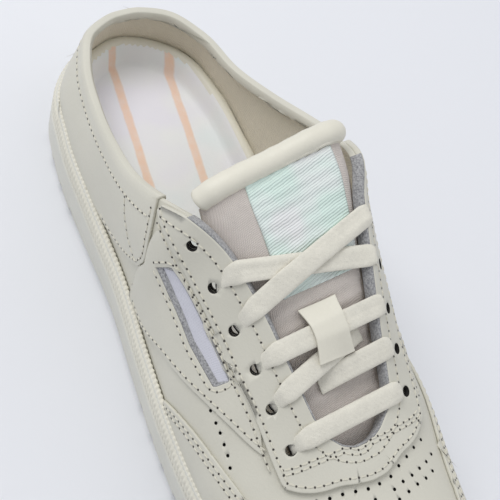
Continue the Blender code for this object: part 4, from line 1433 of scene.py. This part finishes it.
def make_camera():
    """The photograph's view: fitted to the sole's edge, the collar and the eyelets."""
    azimuth, elevation, roll = np.radians(CAMERA_ANGLES)
    flat = math.cos(elevation)
    back = (flat * math.cos(azimuth), flat * math.sin(azimuth), math.sin(elevation))
    back = np.array(back)
    level = unit(np.cross((0, 0, 1), back))
    above = np.cross(back, level)
    right = math.cos(roll) * level + math.sin(roll) * above
    up = -math.sin(roll) * level + math.cos(roll) * above
    lens = bpy.data.cameras.new("camera")
    lens.sensor_width = 36
    lens.lens = CAMERA_FOCAL * 36 / IMAGE_SIZE
    lens.clip_start = 0.01
    camera = bpy.data.objects.new("camera", lens)
    bpy.context.scene.collection.objects.link(camera)
    rows = [[right[i], up[i], back[i], CAMERA_PLACE[i]] for i in range(3)]
    camera.matrix_world = Matrix(rows + [[0, 0, 0, 1]])
    bpy.context.scene.camera = camera


def make_stage():
    """Pale floor, soft sky and a large soft lamp."""
    bpy.ops.mesh.primitive_plane_add(size=6, location=(0, 0, -0.0002))
    floor = bpy.context.object
    floor.name = "floor"
    finish = shaded("floor_paper", FLOOR_COLOUR, 0.9, specular=0.2)
    floor.data.materials.append(finish)
    world = bpy.data.worlds.new("studio")
    world.use_nodes = True
    sky = world.node_tree.nodes["Background"]
    sky.inputs["Color"].default_value = (*SKY_COLOUR, 1)
    sky.inputs["Strength"].default_value = SKY_STRENGTH
    bpy.context.scene.world = world
    for name, place, size, power in LAMPS:
        lamp = bpy.data.lights.new(name, "AREA")
        lamp.shape = "DISK"
        lamp.size = size
        lamp.energy = power
        made = bpy.data.objects.new(name, lamp)
        bpy.context.scene.collection.objects.link(made)
        made.location = place
        aim = Vector((0.0, 0.0, 0.03)) - Vector(place)
        made.rotation_euler = aim.to_track_quat("-Z", "Y").to_euler()
    view = bpy.context.scene.view_settings
    view.view_transform = "Standard"
    view.look = "None"


def make_finishes():
    """Every material of the shoe, by a short name."""
    return {
        "chalk": leather("chalk_leather_fine", CHALK),
        "soft": leather("roll_leather", ROLL_COLOUR, 0.50, 0.00008),
        "lining": woven("lining_cloth", LINING_COLOUR, 0.0009, 0.00016, contrast=0.05),
        "tongue": woven("tongue_cloth", TONGUE_COLOUR, 0.0007, 0.00020, slant=0.7),
        "tongue_back": woven("tongue_back", LINING_COLOUR, 0.0009, 0.00012),
        "window": woven("window_weave", WINDOW_COLOUR, 0.0006, 0.00010, contrast=0.05),
        "rubber": moulded_rubber("cup_rubber", RUBBER),
        "band": moulded_rubber("band_rubber", BAND_COLOUR, 0.6),
        "cotton": lace_cotton("lace_weave", LACE_COLOUR),
        "thread": lace_cotton("stitch_cotton", THREAD_COLOUR),
        # needle: painted shade of the needle holes, on flat dark discs
        "needle": shaded("needle_hole_painted_shade", NEEDLE_SHADE_COLOUR, 0.9),
        # hole: painted shade on the walls and floors of the punched holes
        "hole": shaded("hole_painted_shade", HOLE_SHADE_COLOUR, 0.9),
        "label": ribbed_weave("label_weave", LABEL_COLOUR, LABEL_TINT, LABEL_RIB_PITCH),
        "print": printed_footbed("footbed_print", FOOTBED_COLOUR),
        "raw": flecked_edge("raw_edge", RAW_EDGE_COLOUR, RAW_EDGE_DARK),
    }


def make_sole(finish):
    """Outsole, cup, ribbed band and footbed."""
    dress_outsole(finish["rubber"])
    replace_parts(make_cup(finish["rubber"]), "midsole")
    make_ribbed_band(finish["band"])
    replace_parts(make_footbed(finish["print"], finish["soft"]), "insole")


def leather_overlay(node, name, edge, holes, finish):
    """A thin leather overlay that stands for a node."""
    made = overlay(name, edge, holes, SKIN_LIFT, OVERLAY, finish)
    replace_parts(made, node)


def make_side(side, finish):
    """One side's quarter, the window in it and the window's raw border."""
    edge, window, inner = quarter_loop(), window_loop(1), window_inner()
    if side == "medial":
        edge, window, inner = mirrored(edge), mirrored(window), mirrored(inner)
    node = f"quarter_{side}"
    leather_overlay(node, f"{node}_overlay", edge, [window], finish["chalk"])
    cloth = overlay(
        f"window_{side}_cloth",
        window_loop_wide(side),
        [],
        CLOTH_LIFT,
        CLOTH_THICKNESS,
        finish["window"],
    )
    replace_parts(cloth, f"window_{side}")
    window_border(f"window_{side}_border", window, inner, finish["raw"])


def make_upper(finish):
    """The upper's wall and the overlays on it; returns the wall and the eyestay."""
    chalk = finish["chalk"]
    shell = make_shell([chalk, finish["lining"]])
    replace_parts(shell, "upper")
    leather_overlay("heel_counter", "heel_overlay", heel_loop(), [], chalk)
    for side in ("lateral", "medial"):
        make_side(side, finish)
    leather_overlay("toe_guard", "toe_guard_overlay", guard_loop(), [], chalk)
    eyestay = overlay(
        "eyestay_overlay",
        eyestay_edge_loop(),
        [],
        SKIN_LIFT,
        STAY_THICKNESS,
        chalk,
        STAY_ROUNDING,
    )
    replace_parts(eyestay, "eyestay")
    return shell, eyestay


def punch(shell, eyestay, finish):
    """Cut the eyelets through the eyestay and the wall, and the small holes in the wall."""
    spots = np.array(eyelet_centres())
    # The punches carry the near-black hole material, painted shade inside the holes
    eyelets = punches("eyelet_punches", *held_at(spots), EYELET_RADIUS, 0.006, 0.006, 20, finish)
    cut(eyestay, eyelets)
    cut(shell, eyelets)
    pins = punches("pin_punches", *held_at(pinholes()), PIN_RADIUS, 0.001, PIN_DEPTH, 10, finish)
    cut(shell, pins)
    for cutter in (eyelets, pins):
        bpy.data.objects.remove(cutter, do_unlink=True)


def held_at(spots):
    """Places and outward normals of (station, height) spots on the wall."""
    return skin(spots[:, 0], spots[:, 1]), surface_normal(spots[:, 0], spots[:, 1])


def build():
    """Make every piece."""
    make_camera()
    make_stage()
    finish = make_finishes()
    make_sole(finish)
    shell, eyestay = make_upper(finish)
    tongue = make_tongue(finish["tongue"], finish["tongue_back"])
    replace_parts(tongue, "tongue")
    make_roll(finish["soft"])
    label = make_label(finish["label"])
    throat_edge(finish["raw"])
    trees = [tree_of(piece) for piece in (shell, eyestay, tongue, label)]
    make_laces(trees, finish["cotton"])
    make_keeper(trees, finish["soft"])
    punch(shell, eyestay, finish["hole"])
    sew(finish["thread"], finish["needle"])


def eyelet_centres():
    """Station and height of every eyelet: six lateral, then six medial."""
    lateral = [(s, low) for s, low, _ in EYELETS]
    return lateral + [(2 - s, high) for s, _, high in EYELETS]


def eyelet_place(side, number):
    """Place in plan of an eyelet."""
    station, low, high = EYELETS[number]
    return skin(station, low)[:2] if side == "lateral" else skin(2 - station, high)[:2]


def heel_loop():
    """Edge of the heel overlay, whose top turns over the collar."""
    front = np.vstack([smooth_edge(HEEL_FRONT, 12), smooth_edge(HEEL_LOWER, 12)[1:]])
    front = [tuple(p) for p in front]
    start, end = HEEL_LOWER[-1][0], HEEL_FRONT[0][0]
    low = [(s, -0.1) for s in np.linspace(start, -start, 40)]
    far = [(-s, h) for s, h in reversed(front)]
    top = [(s, COLLAR_TURN) for s in np.linspace(-end, end, 60)]
    return front + low + far + top


def guard_loop():
    """Edge of the toe guard."""
    edge = [tuple(p) for p in smooth_edge(TOE_GUARD_EDGE, 30)]
    edge += mirrored(edge[:-1])
    first = TOE_GUARD_EDGE[0][0]
    return edge + [(s, -0.1) for s in np.linspace(2 - first, first, 50)]


def eyestay_edge_loop():
    """Edge of the eyestay."""
    side = smooth_edge(EYESTAY_EDGE, 24)
    front = smooth_edge(EYESTAY_FRONT, 14)[1:]
    lateral = [tuple(p) for p in np.vstack([side, front])]
    back = EYESTAY_EDGE[0][0]
    inner = [(s, 0.998) for s in np.linspace(2 - back, back, 120)]
    return lateral + mirrored(lateral[:-1]) + inner


def quarter_loop():
    """Edge of the lateral quarter: it runs under the eyestay and up to the heel overlay."""
    lower = [tuple(p) for p in smooth_edge(QUARTER_LOWER, 24)]
    under = [(s, h + 0.04) for s, h in EYESTAY_EDGE if 0.38 < s < 0.67]
    under = [tuple(p) for p in smooth_edge(under, 20)[::-1]]
    back = [(s + 0.002, h) for s, h in HEEL_FRONT if h < 0.86]
    back += [(HEEL_LOWER[0][0] + 0.002, h) for h in (0.2, -0.1)]
    return lower + under + back


def window_loop(share):
    """Edge of the side window, drawn in towards its middle by a share."""
    centre = np.mean(WINDOW, axis=0)
    return [tuple(p) for p in (np.array(WINDOW) - centre) * share + centre]


def window_loop_wide(side):
    """Edge of the window's cloth, which reaches under the quarter."""
    loop = window_loop(1.06)
    return loop if side == "lateral" else mirrored(loop)


def window_inner():
    """Inner edge of the window's raw border: wide below and at the back, thin elsewhere."""
    centre = np.mean(WINDOW, axis=0)
    moved = []
    for s, h in WINDOW:
        ds = WINDOW_BORDER[0] if s < centre[0] else -WINDOW_BORDER[1]
        dh = WINDOW_BORDER[2] if h < centre[1] else -WINDOW_BORDER[3]
        moved.append((s + ds, h + dh))
    return moved


def window_border(name, outer, inner, finish):
    """The raw cut edge round a window, sloping from the quarter's face to the cloth."""
    count = 120
    outside = dense_loop(outer, count)
    inside = dense_loop(inner, count)
    rows = []
    for share, lift in BORDER_SECTION:
        loop = outside * (1 - share) + inside * share
        rows.append(skin(loop[:, 0], loop[:, 1], lift))
    grid = np.array(rows)
    faces = grid_quads(len(rows), count, wrap_columns=True, wrap_rows=True)
    return mesh_piece(name, grid.reshape(-1, 3), faces, [finish])


def dense_loop(loop, count):
    """A closed loop with the same number of points between each pair of corners."""
    loop = np.array(loop, float)
    each = count // len(loop)
    following = np.roll(loop, -1, axis=0)
    shares = np.arange(each) / each
    return np.vstack([a + (b - a) * shares[:, None] for a, b in zip(loop, following)])


def throat_edge(finish):
    """The raw cut edge of the layers round the throat."""
    stations = np.linspace(THROAT_EDGE_START, 2 - THROAT_EDGE_START, 260)
    top = STAY_THICKNESS - 0.0002
    section = (
        (top, -0.0002),
        (top - 0.0003, 0.00025),
        (0.0010, 0.0004),
        (-LEATHER, 0.0003),
        (-LEATHER - 0.0002, -0.0003),
        (0.0010, -0.0003),
    )
    normal = surface_normal(stations, np.full_like(stations, 0.995))
    place = wall_point(stations, 1.0)
    up = unit(wall_point(stations, 1.0) - wall_point(stations, 0.99))
    rings = np.stack([place + normal * out + up * high for out, high in section], axis=1)
    return tube_piece("throat_raw_edge", rings, finish)


def make_laces(trees, finish):
    """The laces, each run over the ones laid before it."""
    replaced = {}
    for name, node, first, last, share, tuck in LACES:
        start, end = eyelet_place(*first), eyelet_place(*last)
        made = make_lace(name, start, end, share, trees, finish, tuck)
        trees.append(tree_of(made))
        replaced.setdefault(node, made)
    for node, made in replaced.items():
        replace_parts(made, node)


def dress_outsole(finish):
    """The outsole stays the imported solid, with the cup's rubber on it."""
    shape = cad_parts["outsole"].data
    shape.materials.clear()
    shape.materials.append(finish)


def make_keeper(trees, finish):
    """The smooth strap on the tongue that holds the middle lace."""
    start, end = eyelet_place("lateral", 3), eyelet_place("medial", 3)
    middle = (start + end) / 2 + KEEPER_SHIFT
    line = middle + np.array((KEEPER_LENGTH, 0)) * np.linspace(-0.62, 0.62, 41)[:, None]
    rails, aside, run = drape(trees, line, KEEPER_WIDTH, 0.0004)
    rails = np.array([smooth_run(r, 5) for r in rails.T]).T
    across = np.linspace(-1, 1, 21)
    wide = KEEPER_WIDTH / 2 * (0.86 + 0.14 * np.linspace(-1, 1, 41) ** 2)
    top = np.empty((41, 21, 3))
    for k in range(41):
        place = line[k] + aside * (across * wide[k])[:, None]
        top[k] = np.c_[place, np.interp(across, np.linspace(-1, 1, 5), rails[k]) + 0.0009]
    faces = grid_quads(41, 21)
    made = mesh_piece("lace_keeper_strap", top.reshape(-1, 3), faces, [finish])
    if made.data.polygons[300].normal.z < 0:
        made.data.flip_normals()
    solid = made.modifiers.new("thickness", "SOLIDIFY")
    solid.thickness = KEEPER_THICKNESS
    solid.offset = -1
    soft = made.modifiers.new("rounding", "BEVEL")
    soft.width = 0.0003
    soft.segments = 2
    settled(made)
    made.data.shade_smooth()
    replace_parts(made, "lace_keeper")


def pinholes():
    """Stations and heights of the punched holes in the vamp and below the quarters."""
    spots = [np.array(side) for side in both_sides(SIDE_HOLES)]
    for row in VAMP_ROWS:
        for side in both_sides(row):
            spots.append(resampled(smooth_curve(side), PIN_PITCH))
    return np.vstack(spots)


def sew(thread, dark):
    """Every row of stitches."""
    top = SKIN_LIFT + OVERLAY
    sewing = Stitching()
    sew_lace_panel(sewing, SKIN_LIFT + STAY_THICKNESS, top)
    sew_sides(sewing, top)
    sewing.finish(thread, dark)


def sew_lace_panel(sewing, stay_top, top):
    """Rows on the eyestay, and the one beside its outer edge."""
    side = smooth_edge(EYESTAY_EDGE, 40)
    front = smooth_edge(EYESTAY_FRONT, 24)
    lateral = np.vstack([side, front[1:]])
    whole = np.array([tuple(p) for p in lateral] + mirrored([tuple(p) for p in lateral[:-1]]))
    sewing.row(offset_curve(whole, SEAM_INSET), stay_top)
    for curve in both_sides([tuple(p) for p in side[2:-3]]):
        sewing.row(offset_curve(curve, -SEAM_INSET), top)
    back = EYESTAY_EDGE[0][0]
    throat = [(s, 1.0) for s in np.linspace(back + 0.004, 2 - back - 0.004, 160)]
    sewing.row(offset_curve(throat, -THROAT_SEAM), stay_top)
    sewing.row(smooth_curve(BAR_ROW), stay_top)
    sewing.row(offset_curve(smooth_curve(BAR_ROW), 0.0016), stay_top)


def sew_sides(sewing, top):
    """Rows on the quarters, heel overlay, collar, toe guard and round the windows."""
    low = smooth_edge(QUARTER_LOWER, 40)
    for curve in both_sides([tuple(p) for p in low]):
        sewing.row(offset_curve(curve, SEAM_INSET), top)
    for curve in both_sides([tuple(p) for p in smooth_edge(HEEL_FRONT, 30)[4:]]):
        sewing.row(offset_curve(curve, -SEAM_INSET), top)
    for curve in both_sides(HEEL_DOTS):
        sewing.row(curve, top)
    for curve in both_sides([tuple(p) for p in smooth_edge(HEEL_LOWER, 30)[:-4]]):
        sewing.row(offset_curve(curve, -SEAM_INSET), top)
    end = HEEL_FRONT[0][0] - 0.004
    collar = np.array([(s, 1.0) for s in np.linspace(-end, end, 160)])
    sewing.row(offset_curve(collar, -COLLAR_SEAM), top)
    guard = smooth_edge(TOE_GUARD_EDGE, 40)
    guard = np.array([tuple(p) for p in guard] + mirrored([tuple(p) for p in guard[:-1]]))
    sewing.row(offset_curve(guard, -SEAM_INSET), top)
    sewing.row(offset_curve(guard, -SEAM_INSET * 2.1), top)
    for side in ("lateral", "medial"):
        loop = resampled(window_loop(1), 0.002, closed=True)
        if side == "medial":
            loop = np.array(mirrored([tuple(p) for p in loop]))
        loop = np.vstack([loop, loop[:1]])
        sewing.row(offset_curve(loop, SEAM_INSET), top)


def smooth_curve(points):
    """A finely sampled smooth curve through (station, height) points."""
    return smooth_edge(points, 60)


build()
